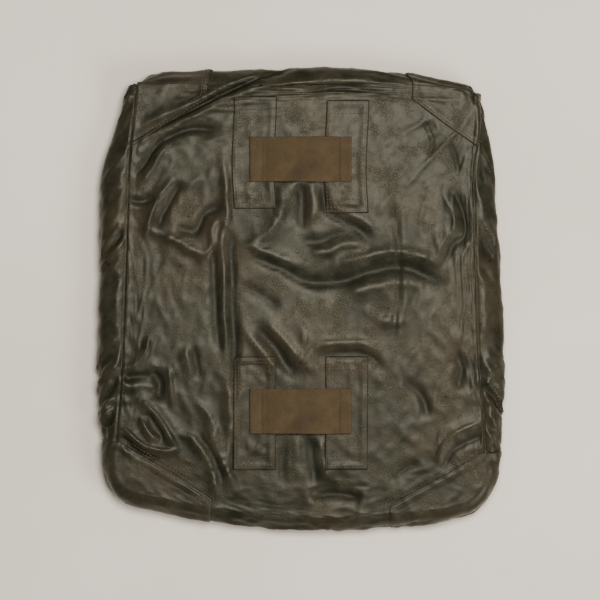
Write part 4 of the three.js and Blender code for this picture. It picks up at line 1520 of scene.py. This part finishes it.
def rounded_outline(low, high, count=220):
    """The garment's outline, with full corners at its base and tight ones at the mouth."""
    path = []
    for x, y, r, start in (
        (high.x, high.y, 0.010, 0), (low.x, high.y, 0.010, 90),
        (low.x, low.y, 0.030, 180), (high.x, low.y, 0.030, 270),
    ):
        turn = np.radians(np.linspace(start, start + 90, 10))
        middle = np.array([x - r * np.sign(x), y - r * np.sign(y)])
        path.append(middle + r * np.column_stack([np.cos(turn), np.sin(turn)]))
    path = np.vstack([*path, path[0][:1]])
    return evenly(path, np.arange(count) / count)


def garment(name, seed, under_skin):
    low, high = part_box(name)
    outline = rounded_outline(low, high)
    centre = np.array([0.0, (low.y + high.y) / 2])
    lobe = (high.z - low.z) / LAYERS
    profile = [(s, low.z + 0.0001) for s in (0.06, 0.2, 0.4, 0.6, 0.8, 0.92)]
    for layer in range(LAYERS):
        for angle in np.radians([-75, -40, 0, 40, 75]):
            bulge = 0.0014 * (math.cos(angle) - 1)
            profile.append((1 + bulge / 0.15, low.z + lobe * (layer + 0.5 + 0.5 * math.sin(angle))))
    profile += [(s, high.z - 0.0001) for s in (0.97, 0.92, 0.84, 0.74, 0.62, 0.48, 0.34, 0.2, 0.06)]
    count = len(outline)
    points, places = [], []
    for scale, z in profile:
        ring = centre + (outline - centre) * scale
        points.append(np.column_stack([ring, np.full(count, z)]))
        places.append(ring + [0.0, 2 * z])
    points = np.vstack(points)
    sway = 0.0010 * rumple(points * [1, 1, 40], 0.030, seed, 2)
    outwards = (points[:, :2] - centre) / np.linalg.norm(points[:, :2] - centre, axis=1)[:, None]
    points[:, :2] += (sway - 0.0010)[:, None] * outwards
    rise = -0.0011 * np.abs(rumple(points * [1, 1, 0], 0.034, seed + 3, 3))
    points[:, 2] += (points[:, 2] > high.z - 0.6 * lobe) * rise
    if under_skin:
        ceiling = lay_on(unwarp(points[:, 0], points[:, 1]), -(2 * FABRIC + CEILING_GAP))[:, 2]
        share = smooth(points[:, 2], low.z + lobe, high.z)
        points[:, 2] -= share * np.maximum(points[:, 2] - ceiling, 0)
    points[:, 0], points[:, 1] = plan_warp(points[:, 0], points[:, 1])
    index = numbered(len(profile), count)
    after = np.roll(index, -1, axis=1)
    faces = np.stack([index[:-1], after[:-1], after[1:], index[1:]], axis=-1).reshape(-1, 4).tolist()
    bottom, top = len(points), len(points) + 1
    faces += [(bottom, int(b), int(a)) for a, b in zip(index[0], after[0])]
    faces += [(top, int(a), int(b)) for a, b in zip(index[-1], after[-1])]
    ends = np.array([points[:count].mean(0), points[-count:].mean(0)])
    piece = mesh_object(name + "_cloth", np.vstack([points, ends]), faces)
    add_pattern(piece, np.vstack([*places, [centre, centre]]))
    piece.data.attributes.new("relief", "FLOAT", "POINT")
    finish(piece, name, SUIT_CLOTH)
    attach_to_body(piece, "bag")


garment("folded_trousers", 61.0, False)
garment("folded_jacket", 67.0, True)
